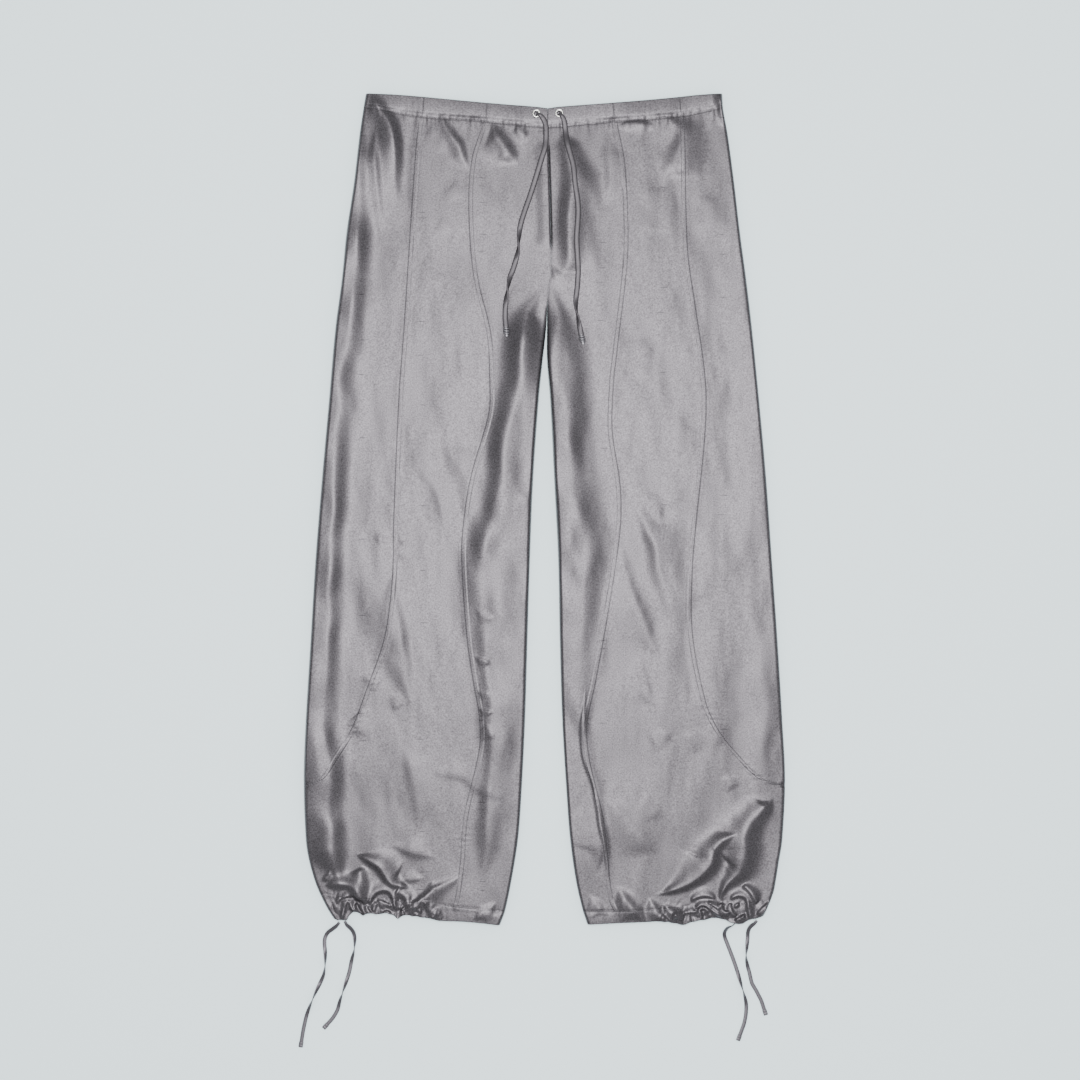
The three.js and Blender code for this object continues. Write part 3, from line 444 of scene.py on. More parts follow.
def backSeamOut(leg, y):
    mirrored = 2 * sideEnd(leg, y) + upperArc + lowerArc + size["upperRound"] - size["lowerRound"]
    return np.maximum(mirrored - outerSeamOut(leg, y), sideTurn(leg, y) + size["pointWidth"])


def creaseRise(each, x, y):
    reach = 2.6 * max(np.max(each["steep"]), np.max(each["gentle"]))  # its rise ends by here
    steps = each["steps"]
    low, high = steps.min(axis=0) - reach, steps.max(axis=0) + reach
    near = (x > low[0]) & (x < high[0]) & (y > low[1]) & (y < high[1])
    rise = np.zeros(x.shape)
    if not near.any():
        return rise
    px, py = x[near], y[near]
    nearest = np.full(px.shape, np.inf)
    offset, along = np.zeros(px.shape), np.zeros(px.shape)
    for i in range(len(steps) - 1):
        (ax, ay), (dx, dy) = steps[i], steps[i + 1] - steps[i]
        t = np.clip(((px - ax) * dx + (py - ay) * dy) / (dx * dx + dy * dy), 0, 1)
        qx, qy = px - ax - t * dx, py - ay - t * dy
        far = np.hypot(qx, qy)
        closer = far < nearest
        nearest[closer] = far[closer]
        offset[closer] = (np.sign(qx * dy - qy * dx) * far)[closer]
        along[closer] = ((i + t) / (len(steps) - 1))[closer]
    toEnd = np.minimum(along, 1 - along)
    ends = smooth(toEnd, 0, each["fade"])
    pointed = mix(0.3, 1, ends)
    leaf = smooth(toEnd, 0, min(0.5, 4 * each["fade"]))
    steep = alongCrease(each["steep"], along)
    loose = smooth(py, -420, -370)  # above the gathered ankle, where creases are less even
    wander = relief["wander"] * loose * softNoise(py / 34, px / 90, 92)
    uneven = 1 + relief["uneven"] * loose * softNoise(px / 26, py / 42, 91)
    fromCrest = each["crest"] * offset - math.sqrt(0.5) * steep * pointed + wander
    gentle = mix(steep, alongCrease(each["gentle"], along), leaf) * pointed
    width = np.where(fromCrest < 0, steep * pointed, gentle)
    rise[near] = ends * uneven * alongCrease(each["rise"], along) * bell(fromCrest, width)
    return rise


def alongLap(y):  # 1 beside the false fly and 0 past its ends
    low, top = lap["low"], lap["top"]
    return smooth(y, low, low + lap["endFade"]) * (1 - smooth(y, top, top + lap["endFade"]))


def frontHeight(leg, x, y):
    # outer face above the surface; above the crotch the two legs share their creases
    shared = smooth(y, size["crotchLow"], size["crotchTop"])
    height = np.full(x.shape, float(size["restHeight"]))
    for each in leg["creases"]:
        height += creaseRise(each, x, y)
    other = leftLeg if leg is rightLeg else rightLeg
    for each in other["creases"]:
        height += shared * creaseRise(each, x, y)
    if leg is rightLeg:
        across = outward(leg, "inner", y) + lap["width"] - leg["sign"] * x
        height += lap["rise"] * alongLap(y) * smooth(across, 0, lap["fade"])
    return height


def roundedEdge(run, top):
    # distance in from an edge and height, for a length `run` past the start of its round
    upper, lower, edge = size["upperRound"], size["lowerRound"], size["edgeHeight"]
    turn = run / upper
    under = np.clip((run - upperArc) / lower, 0, math.pi / 2)
    onTop = run <= upperArc
    inward = np.where(
        onTop,
        upper * (1 - np.sin(turn)),
        lower * (1 - np.cos(under)) + np.maximum(run - upperArc - lowerArc, 0),
    )
    low = mix(edge, size["underside"], np.sin(under))
    height = np.where(onTop, edge + (top - edge) * np.cos(turn), low)
    return inward, height


def flatOut(leg, out, y):
    # outward distance of a place on the cloth as seen from above
    past = out - sideEnd(leg, y)
    before = innerEnd(leg, y) - out
    edge = outward(leg, "inner", y) + size["halfGap"]
    atSide = outward(leg, "side", y) - roundedEdge(np.maximum(past, 0), 0)[0]
    atInner = mix(np.maximum(out, edge), edge + roundedEdge(np.maximum(before, 0), 0)[0], roundness(y))
    return np.where(past > 0, atSide, np.where(before > 0, atInner, out))


def legPoint(leg, out, y, lift):
    # outer face of the leg at a distance `out` along the cloth, which goes on round the edges
    out, y = np.broadcast_arrays(np.asarray(out, float), np.asarray(y, float))
    past = out - sideEnd(leg, y)
    before = innerEnd(leg, y) - out
    x = leg["sign"] * flatOut(leg, out, y)
    top = frontHeight(leg, x, y) + lift
    atSide = roundedEdge(np.maximum(past, 0), top)[1]
    atInner = mix(top, roundedEdge(np.maximum(before, 0), top)[1], roundness(y))
    z = np.where(past > 0, atSide, np.where(before > 0, atInner, top))
    return np.stack([x, y, z], axis=-1)


garment = {"top": 480, "foot": -490, "settle": 5}  # about where it starts and ends; rounds to settle


def rowY(leg, out, down):
    # Y of a place `down` of the way from the waist seam to the hem seam. The place's X and Y
    # depend on each other, so a few rounds settle them.
    y = mix(garment["top"], garment["foot"], down) + 0 * (out(0) if callable(out) else out)
    for _ in range(garment["settle"]):
        x = leg["sign"] * flatOut(leg, out(y) if callable(out) else out, y)
        y = mix(waistSeamY(x) - size["halfGap"], leg["hemSeamY"](x) + size["halfGap"], down)
    return y


# Small relief of the front: sewing, puckers and the cloth's own unevenness
relief = {
    "seamGroove": 0.04,
    "seamWide": 0.9,
    "stitchGroove": 0.17,
    "stitchWide": 0.8,
    "stitchAway": 3.1,  # each topstitch row from its seam
    "wander": 2.6,  # how far a crease strays from its line
    "uneven": 0.32,  # and how much its height varies
    "seamPad": 0.34,  # seam allowances under the cloth
    "padWide": 4.5,
    "pucker": 0.15,
    "puckerWide": 7.5,
    "puckerShift": 3.3,  # between the puckers on a seam's two sides, in puckers
    "puckerPitch": 7.5,  # from one pucker to the next along a seam
    "waistPucker": 0.3,
    "hemGather": 0.5,
    "drift": 0.75,  # long uneven waves
    "sway": 0.24,
    "ripple": 0.1,
}


def ridges(x, seed):
    # uneven rounded ridges across x, about one to a unit
    wander = 0.8 * softNoise(x * 0.37, x * 0 + 0.5, seed)
    return 0.5 + 0.5 * np.sin(2 * math.pi * (x + wander)) + 0.35 * softNoise(x * 1.7, x * 0, seed + 1)


def puffs(x, y, seed):
    # rounded swellings about one to a unit, with narrow valleys where they meet
    table = np.random.default_rng(seed).uniform(0, 1, (64, 64, 2))
    x, y = x + 0.7 * softNoise(x / 2.3, y / 2.3, seed + 1), y + 0.5 * softNoise(x / 2, y / 2, seed + 2)
    i, j = np.floor(x).astype(int), np.floor(y).astype(int)
    nearest, second = np.full(x.shape, np.inf), np.full(x.shape, np.inf)
    for di in (-1, 0, 1):
        for dj in (-1, 0, 1):
            middle = table[(i + di) % 64, (j + dj) % 64]
            far = np.hypot(i + di + middle[..., 0] - x, j + dj + middle[..., 1] - y)
            second = np.minimum(second, np.maximum(nearest, far))
            nearest = np.minimum(nearest, far)
    return np.clip((second - nearest) / 0.6, 0, 1) ** 0.75 * (1 - 0.4 * nearest**2)


def seamRelief(distance, y, seed, strength):
    d = np.abs(distance)
    groove = -relief["seamGroove"] * bell(d, relief["seamWide"])
    groove -= relief["stitchGroove"] * bell(d - relief["stitchAway"], relief["stitchWide"])
    pad = relief["seamPad"] * bell(d, relief["padWide"])
    here = smooth(softNoise(y / 26, 0 * y, seed + 20), -0.2, 0.8)  # puckers come and go
    pull = relief["pucker"] * strength * here * bell(d, relief["puckerWide"])
    side = np.where(distance > 0, relief["puckerShift"], 0)
    return groove + pad + pull * (ridges(y / relief["puckerPitch"] + side, seed) - 0.5)


casing = {
    "bandRoll": 0.4,
    "bandPucker": 0.16,
    "bandDrift": 0.8,
    "puffRise": 1.2,  # small gathers of the hem casing, between the placed ones
    "puffWide": 11,
    "puffTall": 15,
    "crumple": 0.35,
    "scallop": 0.6,
    "fullness": 1.2,  # the hem's cut against its gathered width
    "rowsApart": 4.5,  # the waist's two stitch rows
    "firstRow": 1.8,
}


def gatherShare(leg, x):
    # 1 where the hem is drawn in, 0 on its flat part, and less again at the leg's side
    start, end = leg["sign"] * leg["gathers"][1], leg["sign"] * leg["gathers"][0]
    out = leg["sign"] * x
    return smooth(out, start, start + 24) * (1 - 0.6 * smooth(out, end - 4, end + 14))


def frontLift(leg, out, y):
    x = leg["sign"] * flatOut(leg, out, y)
    seed = 10 if leg is rightLeg else 40
    toPoint = smooth(-y, 170, 300)
    lift = seamRelief(out - outerSeamOut(leg, y), y, seed, 1 + 2 * toPoint)
    lift += seamRelief(out - innerSeamOut(leg, y), y, seed + 3, 1)
    middle = out - outward(leg, "inner", y)
    lift -= (0.15 + lap["groove"] * alongLap(y)) * (1 - roundness(y)) * bell(middle, 1.3)
    below = np.maximum(waistSeamY(x) - y, 0)
    lift -= 0.15 * bell(below, relief["seamWide"])
    lift += relief["waistPucker"] * bell(below, 8) * (ridges(x / 8.5, seed + 6) - 0.6)
    lift += 0.4 * bell(below, 20) * (ridges(x / 17, seed + 7) - 0.6)
    above = np.maximum(y - leg["hemSeamY"](x), 0)
    gathered = relief["hemGather"] * gatherShare(leg, x) * bell(above, 9)
    lift += gathered * (puffs(x / casing["puffWide"], y / casing["puffTall"], 81) - 0.4)
    lift += 0.2 * (1 - gatherShare(leg, x)) * bell(above, 9) * (ridges(x / 12, seed + 9) - 0.5)
    lift -= 0.1 * (1 - gatherShare(leg, x)) * bell(above, 1.1)
    lift += relief["drift"] * softNoise(x / 30 + 7, y / 62, seed + 10)
    lift += relief["sway"] * softNoise(x / 15 + 0.3 * y / 30, y / 36, seed + 12)
    lift += relief["ripple"] * softNoise(x / 8 + 3, y / 19, seed + 11)
    return lift


def makeMesh(name, points, faces, sharp=50):
    # a smooth piece in the frame, its sizes given in millimetres
    mesh = bpy.data.meshes.new(name)
    mesh.from_pydata((np.asarray(points) * metre).tolist(), [], [list(f) for f in faces])
    mesh.polygons.foreach_set("use_smooth", [True] * len(mesh.polygons))
    mesh.set_sharp_from_angle(angle=math.radians(sharp))
    mesh.update()
    piece = bpy.data.objects.new(name, mesh)
    bpy.context.collection.objects.link(piece)
    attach(piece, "root")
    return piece


def gridNormals(grid, sign):
    normal = -sign * np.cross(np.gradient(grid, axis=1), np.gradient(grid, axis=0))
    return normal / np.linalg.norm(normal, axis=-1, keepdims=True)


def cells(at):
    return np.stack([at[:-1, :-1], at[:-1, 1:], at[1:, 1:], at[1:, :-1]], axis=-1).reshape(-1, 4)


def rim(fine, coarse, picks):
    # faces between a fine row of points and the coarse one behind it
    spans = enumerate(zip(picks[:-1], picks[1:]))
    return [[*fine[a : b + 1][::-1].tolist(), int(coarse[k]), int(coarse[k + 1])] for k, (a, b) in spans]


def shell(name, outer, inner, sign, keep=None):
    # a closed thin wall between two grids, coarser on its hidden face. `keep` leaves faces out,
    # as for a hole, and then both faces are alike.
    rows, columns = outer.shape[:2]
    total = rows * columns
    at = np.arange(total).reshape(rows, columns)
    if keep is None:
        r, c = (np.unique([*range(0, n, cloth["hiddenStep"]), n - 1]) for n in (rows, columns))
        hidden = total + at[np.ix_(r, c)]
        walls = rim(at[0], hidden[0], c) + rim(at[:, -1], hidden[:, -1], r)
        walls += [f[::-1] for f in rim(at[-1], hidden[-1], c) + rim(at[:, 0], hidden[:, 0], r)]
        faces = cells(at).tolist() + cells(hidden)[:, ::-1].tolist() + walls
    else:
        quads = cells(at)[keep.ravel()]
        edges = np.concatenate([quads[:, [k, (k + 1) % 4]] for k in range(4)])
        border = edges[~np.isin(edges[:, 0] * total + edges[:, 1], edges[:, 1] * total + edges[:, 0])]
        a, b = border[:, 0], border[:, 1]
        walls = np.stack([b, a, a + total, b + total], axis=1)
        faces = np.concatenate([quads, quads[:, ::-1] + total, walls]).tolist()
    if sign > 0:
        faces = [f[::-1] for f in faces]
    points = np.concatenate([outer.reshape(-1, 3), inner.reshape(-1, 3)])
    used = sorted({i for f in faces for i in f})
    renumber = dict(zip(used, range(len(used))))
    return makeMesh(name, points[used], [[renumber[i] for i in f] for f in faces])


def softened(distance, wall):
    # how far a wall's face comes in near a folded edge
    half = wall / 2
    rest = 1 - np.clip(distance / half, 0, 1)
    return half * (1 - np.sqrt(np.maximum(1 - rest**2, 0)))


def clothShell(name, leg, points, wall, fromFold=None, keep=None):
    normals = gridNormals(points, leg["sign"])
    turned = 0 if fromFold is None else softened(fromFold, wall)[..., None]
    outer = points - normals * turned
    inner = points - normals * (wall - turned)
    return shell(name, outer, inner, leg["sign"], keep)


def sweep(path, halfWidth, halfThick, roll=0, sides=16, squareness=2.6):
    # points and faces of a flat cord along a path; sizes and roll are given at each of its points.
    # `squareness` is 2 for an oval section, and more for one with flatter faces.
    path = np.asarray(path, float)
    way = np.gradient(path, axis=0)
    way /= np.linalg.norm(way, axis=1, keepdims=True)
    across = np.cross(way, [0, 0, 1])
    across /= np.linalg.norm(across, axis=1, keepdims=True)
    up = np.cross(across, way)
    given = (halfWidth, halfThick, roll)
    halfWidth, halfThick, roll = (np.broadcast_to(v, len(path))[:, None] for v in given)
    turn = np.linspace(0, 2 * math.pi, sides, endpoint=False)[None, :]
    c, s = np.cos(turn), np.sin(turn)
    u = halfWidth * np.sign(c) * np.abs(c) ** (2 / squareness)
    v = halfThick * np.sign(s) * np.abs(s) ** (2 / squareness)
    a, b = u * np.cos(roll) - v * np.sin(roll), u * np.sin(roll) + v * np.cos(roll)
    rings = path[:, None] + across[:, None] * a[..., None] + up[:, None] * b[..., None]
    count = len(path)
    points = np.concatenate([rings.reshape(-1, 3), path[:1], path[-1:]])
    faces = []
    for i in range(count - 1):
        for k in range(sides):
            n = (k + 1) % sides
            faces.append((i * sides + k, i * sides + n, (i + 1) * sides + n, (i + 1) * sides + k))
    foot, tip = count * sides, count * sides + 1
    for k in range(sides):
        n = (k + 1) % sides
        faces.append((foot, n, k))
        faces.append((tip, (count - 1) * sides + k, (count - 1) * sides + n))
    return points, [f[::-1] for f in faces]


def together(*parts):
    # several lots of points and faces as one
    points, faces, used = [], [], 0
    for some, theirs in parts:
        points.append(some)
        faces += [tuple(i + used for i in f) for f in theirs]
        used += len(some)
    return np.concatenate(points), faces


# The cloth, and how finely it is drawn
cloth = {
    "wall": 0.8,
    "bandWall": 1.8,
    "hemWall": 1.5,
    "column": 1.75,
    "row": 3.2,
    "kneeRow": 1.6,
    "ankleRow": 1.5,
    "fine": 1.2,
    "hiddenStep": 2,  # the hidden face has every second row and column
    "backSpacing": 8,
    "seamGap": 0.02,
    "length": 970,  # from the waist seam to the hem seam
    "knee": (0.64, 0.79),  # shares of it with the short knee wrinkles
    "ankle": 0.84,  # and from where the ankle's creases start
    "backWidth": 280,
}
# Places beside a seam or a folded edge, closer together where its relief is
nearSeam = [0, 0.3, 0.8, 1.5, 2.2, 2.8, 3.4, 5.2]
nearEdge = [0, 0.12, 0.3, 0.55, 0.9, 1.5]


def spacedBetween(a, b, nearA, nearB, count):
    # places from a to b on each row, close together beside each end
    reach = np.minimum(1, (b - a) / (4 * max(nearA[-1], nearB[-1])))[:, None]
    left = a[:, None] + np.array(nearA) * reach
    right = b[:, None] - np.array(nearB)[::-1] * reach
    middle = mix(left[:, -1:], right[:, :1], np.linspace(0, 1, count + 1)[1:-1])
    return np.concatenate([left, middle, right], axis=1)


def rowsDown(foot=1):
    # from the waist seam to the hem seam, close together at both, below the knee and over the ankle
    length, (kneeTop, kneeFoot), ankleTop = cloth["length"], cloth["knee"], cloth["ankle"]
    near = np.array([0, 0.3, 0.8, 1.5, 2.5]) / length
    thigh = np.arange(near[-1], kneeTop, cloth["row"] / length)
    knee = np.arange(kneeTop, kneeFoot, cloth["kneeRow"] / length)
    shin = np.arange(kneeFoot, ankleTop, cloth["row"] / length)
    ankle = np.arange(ankleTop, 1 - near[-1], cloth["ankleRow"] / length)
    downs = np.concatenate([near[:-1], thigh, knee, shin, ankle, 1 - near[::-1]])
    return downs[downs <= foot]


def makePanel(leg, name, start, end, downs):
    a = start(leg, rowY(leg, lambda y: start(leg, y), downs)) + cloth["seamGap"]
    b = end(leg, rowY(leg, lambda y: end(leg, y), downs)) - cloth["seamGap"]
    out = spacedBetween(a, b, nearSeam, nearSeam, int(np.max(b - a) / cloth["column"]))
    y = rowY(leg, out, downs[:, None])
    points = legPoint(leg, out, y, frontLift(leg, out, y))
    piece = clothShell(f"{name}_{leg['name']}_cloth", leg, points, cloth["wall"])
    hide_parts(f"{name}_{leg['name']}")
    return piece


def placeDown(leg, level):
    # `down` at which the side's turned-under edge reaches a height along Y
    low, high = 0, 1
    for _ in range(30):  # halving finds it well within a thousandth of a millimetre
        middle = (low + high) / 2
        reached = rowY(leg, lambda y: sideTurn(leg, y), np.array([middle]))[0]
        low, high = (middle, high) if reached > level else (low, middle)
    return low


def bandY(leg, q, share):
    x = leg["sign"] * q
    return mix(waistSeamY(x) + cloth["seamGap"], waistEdgeY(x), share)


def hemY(leg, q, share):
    x = leg["sign"] * q
    scallop = casing["scallop"] * gatherShare(leg, x) * softNoise(x / 5.5, 0 * x, 85)
    return mix(leg["hemSeamY"](x) - cloth["seamGap"], leg["hemEdgeY"](x) + scallop, share)


def bandLift(leg, out, y):
    x = leg["sign"] * flatOut(leg, out, y)
    height = waistEdgeY(x) - waistSeamY(x)
    up = np.clip((y - waistSeamY(x)) / height, 0, 1)
    joined = 1 - smooth(up, 0, 0.35)
    lift = joined * frontLift(leg, out, waistSeamY(x)) + casing["bandRoll"] * np.sin(math.pi * up)
    lift += casing["bandDrift"] * (1 - joined) * softNoise(x / 21, y / 40, 73)
    lift += casing["bandPucker"] * (0.35 + 0.65 * joined) * (ridges(x / 7.5 + 3, 71) - 0.5)
    for row in (casing["firstRow"], casing["firstRow"] + casing["rowsApart"]):
        lift -= 0.16 * bell(y - waistSeamY(x) - row, relief["stitchWide"])
    for seam in (outerSeamOut(leg, y), innerSeamOut(leg, y), outward(leg, "inner", y)):
        lift -= (1 - joined) * 0.2 * bell(out - seam, relief["stitchWide"])
    return lift


def hemLift(leg, out, y):
    x = leg["sign"] * flatOut(leg, out, y)
    height = leg["hemSeamY"](x) - leg["hemEdgeY"](x)
    down = np.clip((leg["hemSeamY"](x) - y) / height, 0, 1)
    joined = 1 - smooth(down, 0, 0.45)
    share = gatherShare(leg, x)
    lift = joined * frontLift(leg, out, leg["hemSeamY"](x))
    puffed = puffs(x / casing["puffWide"], y / casing["puffTall"], 81)
    lift += casing["puffRise"] * share * smooth(down, 0, 0.5) * (puffed - 0.3)
    lift += casing["crumple"] * share * softNoise(x / 4, y / 4.5, 83)
    lift += 0.25 * (1 - share) * (1 - joined) * (ridges(x / 11, 82) - 0.5)
    lift += 0.3 * np.sin(math.pi * down)
    lift -= 0.14 * (1 - share) * bell(leg["hemSeamY"](x) - y - 2, relief["stitchWide"])
    return lift


def makeCasing(leg, name, start, end, yAt, lift, wall, top, hole=None):
    # a casing piece between two seams; `top` is true where its fold is its upper edge
    tall = 20  # about the height of a casing
    edge = np.array(nearEdge) / tall
    seam = np.array([0, 0.3, 0.8, 1.5, 2.2, 3]) / tall
    even = np.linspace(seam[-1], 1 - edge[-1], max(4, int(tall / cloth["fine"])))
    shares = np.concatenate([seam[:-1], even, 1 - edge[::-1][1:]])
    if top:
        shares = shares[::-1]

    def settle(way, share):
        y = yAt(leg, 200, share)  # from any place on the leg
        for _ in range(garment["settle"] + 1):
            y = yAt(leg, flatOut(leg, way(leg, y), y), share)
        return y

    a = start(leg, settle(start, shares)) + cloth["seamGap"]
    b = end(leg, settle(end, shares)) - cloth["seamGap"]
    near = nearSeam[:5]
    out = spacedBetween(a, b, near, near, int(np.max(b - a) / cloth["fine"]))
    y = 0 * out + settle(start, shares)[:, None]
    for _ in range(garment["settle"]):
        y = yAt(leg, flatOut(leg, out, y), shares[:, None])
    points = legPoint(leg, out, y, lift(leg, out, y))
    fromFold = np.abs(y - yAt(leg, flatOut(leg, out, y), 1))
    keep = None
    if hole is not None:  # the points round it move onto its rim
        centre, cut = np.array(hole[:2]), hole[2]
        apart = np.linalg.norm(points[..., :2] - centre, axis=-1)
        faceMiddle = (points[:-1, :-1] + points[1:, 1:])[..., :2] / 2
        keep = np.linalg.norm(faceMiddle - centre, axis=-1) > cut
        around = apart < cut + 1.4
        ring = centre + (points[..., :2] - centre) * (cut / np.maximum(apart, 0.01))[..., None]
        points[around, :2] = ring[around]
    piece = clothShell(f"{name}_{leg['name']}_cloth", leg, points, wall, fromFold, keep)
    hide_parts(f"{name}_{leg['name']}")
    return piece


def makeBack(leg, name, yAt, rows, wall):
    # the underside, flat on the surface but for shallow creases that lift off it
    columns = np.linspace(0, 1, int(cloth["backWidth"] / cloth["backSpacing"]))

    def inner(y):
        turned = flatOut(leg, innerTurn(leg, y), y)
        return np.maximum(turned, outward(leg, "inner", y) + size["halfGap"])

    def outer(y):
        return flatOut(leg, backSeamOut(leg, y), y)

    y = yAt(leg, cloth["backWidth"] / 2 + 0 * rows, rows)
    a, b = inner(y), outer(y)
    for _ in range(garment["settle"]):
        ya, yb = yAt(leg, a, rows), yAt(leg, b, rows)
        a, b = inner(ya), outer(yb)
    q = mix(a[:, None] + 0.3, b[:, None] - 0.3, columns)
    y = yAt(leg, q, rows[:, None])
    x = leg["sign"] * q
    inside = smooth(np.minimum(q - q[:, :1], q[:, -1:] - q), 2, 25)
    rise = 1.6 * np.maximum(softNoise(x / 34 + 9, y / 90, 91) - 0.1, 0) * inside
    rise += 0.5 * np.maximum(softNoise(x / 13, y / 28, 92), 0) * inside
    low = np.stack([x, y, size["underside"] + rise], axis=-1)
    high = low + np.array([0, 0, wall])
    piece = shell(f"{name}_{leg['name']}_cloth", low, high, -leg["sign"])
    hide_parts(f"{name}_{leg['name']}")
    return piece


# Eyelets, rings through the waist casing. All but their places are radii, and the rim's height.
eyelet = {
    "hole": 2.9, "barrel": 3.6, "flange": 5.2, "rolled": 4.8, "rim": 1, "cut": 4.1,
    "places": {"right": (-10, 493.5), "left": (18.5, 494)},
}

panels, casings, backs = {}, {}, {}
for leg in (rightLeg, leftLeg):
    side = leg["name"]
    rows = rowsDown()
    panels["front_inner", side] = makePanel(leg, "front_inner", innerTurn, innerSeamOut, rows)
    panels["front_centre", side] = makePanel(leg, "front_centre", innerSeamOut, outerSeamOut, rows)
    toPoint = rowsDown(placeDown(leg, size["pointLow"]))
    panels["side", side] = makePanel(leg, "side", outerSeamOut, backSeamOut, toPoint)
    for name, start, end in (
        ("band_inner", middleOut, innerSeamOut),
        ("band_centre", innerSeamOut, outerSeamOut),
        ("band_side", outerSeamOut, backSeamOut),
    ):
        hole = (*eyelet["places"][side], eyelet["cut"]) if name == "band_inner" else None
        casings[name, side] = makeCasing(
            leg, name, start, end, bandY, bandLift, cloth["bandWall"], True, hole
        )
    for name, start, end in (
        ("hem_centre", innerSeamOut, sideTurn),
        ("hem_inner", innerTurn, innerSeamOut),
    ):
        casings[name, side] = makeCasing(leg, name, start, end, hemY, hemLift, cloth["hemWall"], False)
    downs = np.linspace(0, 1, int(cloth["length"] / cloth["backSpacing"]))
    backs["back", side] = makeBack(leg, "back", rowY, downs, cloth["wall"])
    shares = np.linspace(0, 1, 9)
    backs["band_back", side] = makeBack(leg, "band_back", bandY, shares, cloth["bandWall"])
    backs["hem_back", side] = makeBack(leg, "hem_back", hemY, shares, cloth["hemWall"])
    print("cloth made:", side, "leg")


def clothTop(x, y, reach=0):
    # height of the cloth at a place, or its highest within a distance
    x, y = np.atleast_1d(np.asarray(x, float)), np.atleast_1d(np.asarray(y, float))
    turns = np.arange(8) * math.pi / 4
    around = [(0, 0)] + ([(reach * math.cos(t), reach * math.sin(t)) for t in turns] if reach else [])
    best = np.full(x.shape, -np.inf)
    for dx, dy in around:
        for leg in (rightLeg, leftLeg):
            u, v = x + dx, y + dy
            out = leg["sign"] * u
            mine = out >= outward(leg, "inner", v)
            onBand = v > waistSeamY(u)
            lift = np.where(onBand, bandLift(leg, out, v), frontLift(leg, out, v))
            z = frontHeight(leg, u, v) + lift
            best = np.where(mine, np.maximum(best, z), best)
    return best


def makeEyelet(side):
    x, y = eyelet["places"][side]
    turns = np.linspace(0, 2 * math.pi, 16, endpoint=False)
    heights = clothTop(x + eyelet["flange"] * np.cos(turns), y + eyelet["flange"] * np.sin(turns))
    seat, under = heights.max() - 0.1, heights.min() - cloth["bandWall"] - 0.6
    hole, barrel, flange, rolled, rim = (eyelet[k] for k in ("hole", "barrel", "flange", "rolled", "rim"))
    profile = [  # radius and height, from the rolled edge behind to the flange in front
        (hole + 0.5, under - 0.5), (rolled - 0.4, under - 0.5), (rolled, under - 0.25), (rolled - 0.3, under),
        (barrel, under), (barrel, seat), (flange - 0.1, seat), (flange, seat + 0.2 * rim),
        (flange - 0.15, seat + 0.5 * rim), (flange - 0.6, seat + 0.85 * rim), (4.2, seat + rim),
        (hole + 0.6, seat + 0.85 * rim), (hole + 0.2, seat + 0.5 * rim), (hole, seat), (hole, under),
        (hole + 0.2, under - 0.35),
    ]
    sides, points, faces = 48, [], []
    for k in range(sides):
        turn = 2 * math.pi * k / sides
        points += [(x + r * math.cos(turn), y + r * math.sin(turn), z) for r, z in profile]
    n = len(profile)
    for k in range(sides):
        for i in range(n):
            j, m = (i + 1) % n, (k + 1) % sides
            faces.append((k * n + i, m * n + i, m * n + j, k * n + j))
    ring = makeMesh(f"eyelet_{side}_ring", points, faces, 40)
    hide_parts(f"eyelet_{side}")
    return ring, seat + rim


rings, mouths = {}, {}
for side in ("right", "left"):
    rings[side], mouths[side] = makeEyelet(side)
print("eyelets set")

# Drawcords: satin tubes pressed flat, knotted at the waist and stitched back at the hems. A twist
# is given by its share of the way along.
waistCord = {
    "width": 6.8,
    "thickness": 2.8,
    "twists": {"right": (0.62, 0.83), "left": (0.9,)},
    "twistHalf": 0.09,  # half of the length that a twist takes, as a share
    "steps": 150,
}
hemCord = {"width": 4.8, "thickness": 1.1, "tip": 7.5, "twistHalf": 0.17, "steps": 120}
waistRoutes = {
    "right": [
        (-9, 493), (-3, 489), (1, 481), (2, 471), (1, 453), (-4, 436), (-11, 413), (-18, 391),
        (-25, 371), (-30, 354), (-32, 337), (-33, 322), (-38, 303), (-43, 289), (-46, 274),
        (-48, 261), (-49, 241), (-48, 227),
    ],
    "left": [
        (19, 493), (24, 486), (26, 473), (28, 458), (32, 443), (36, 427), (38, 407), (41, 386),
        (42, 371), (41, 354), (40, 337), (41, 318), (42, 298), (41, 279), (39, 256), (42, 237),
        (46, 217),
    ],
}
hemRoutes = {
    "right_outer": [
        (-256, -515), (-259, -519), (-265, -524), (-271, -529), (-274.5, -536), (-275, -544),
        (-274, -554), (-274, -568), (-276, -581), (-280, -591), (-287, -606), (-296, -628),
        (-301, -648), (-304, -666),
    ],
    "right_inner": [
        (-249, -513.4), (-246.7, -518), (-242, -523), (-238.5, -529), (-237, -538), (-238, -551),
        (-241, -563), (-244, -578), (-248, -591), (-252, -603), (-256, -615), (-259, -626),
        (-265, -636), (-272, -644),
    ],
    "left_inner": [
        (238, -515.5), (234.5, -519), (229, -522), (225.5, -527), (225, -533), (229, -544),
        (234, -557), (238, -568), (241, -577), (244, -587), (249, -604), (252, -617), (252, -629),
        (250, -641), (247, -650), (244, -658),
    ],
    "left_outer": [
        (265, -512.7), (261.5, -516.7), (257, -521), (254.5, -527), (254, -536), (253, -548),
        (252, -559), (254, -571), (256, -578), (259, -591), (262, -597), (265, -602), (268, -608),
        (271, -614), (275, -626),
    ],
}
hemTwists = {
    "right_outer": (0.38, 0.66),
    "right_inner": (0.27, 0.68),
    "left_inner": (0.04, 0.62),
    "left_outer": (0.4,),
}


def twistAlong(along, twists, half):
    roll = np.zeros(along.shape)
    for place in twists:
        roll += math.pi * smooth(along, place - half, place + half)
    return roll


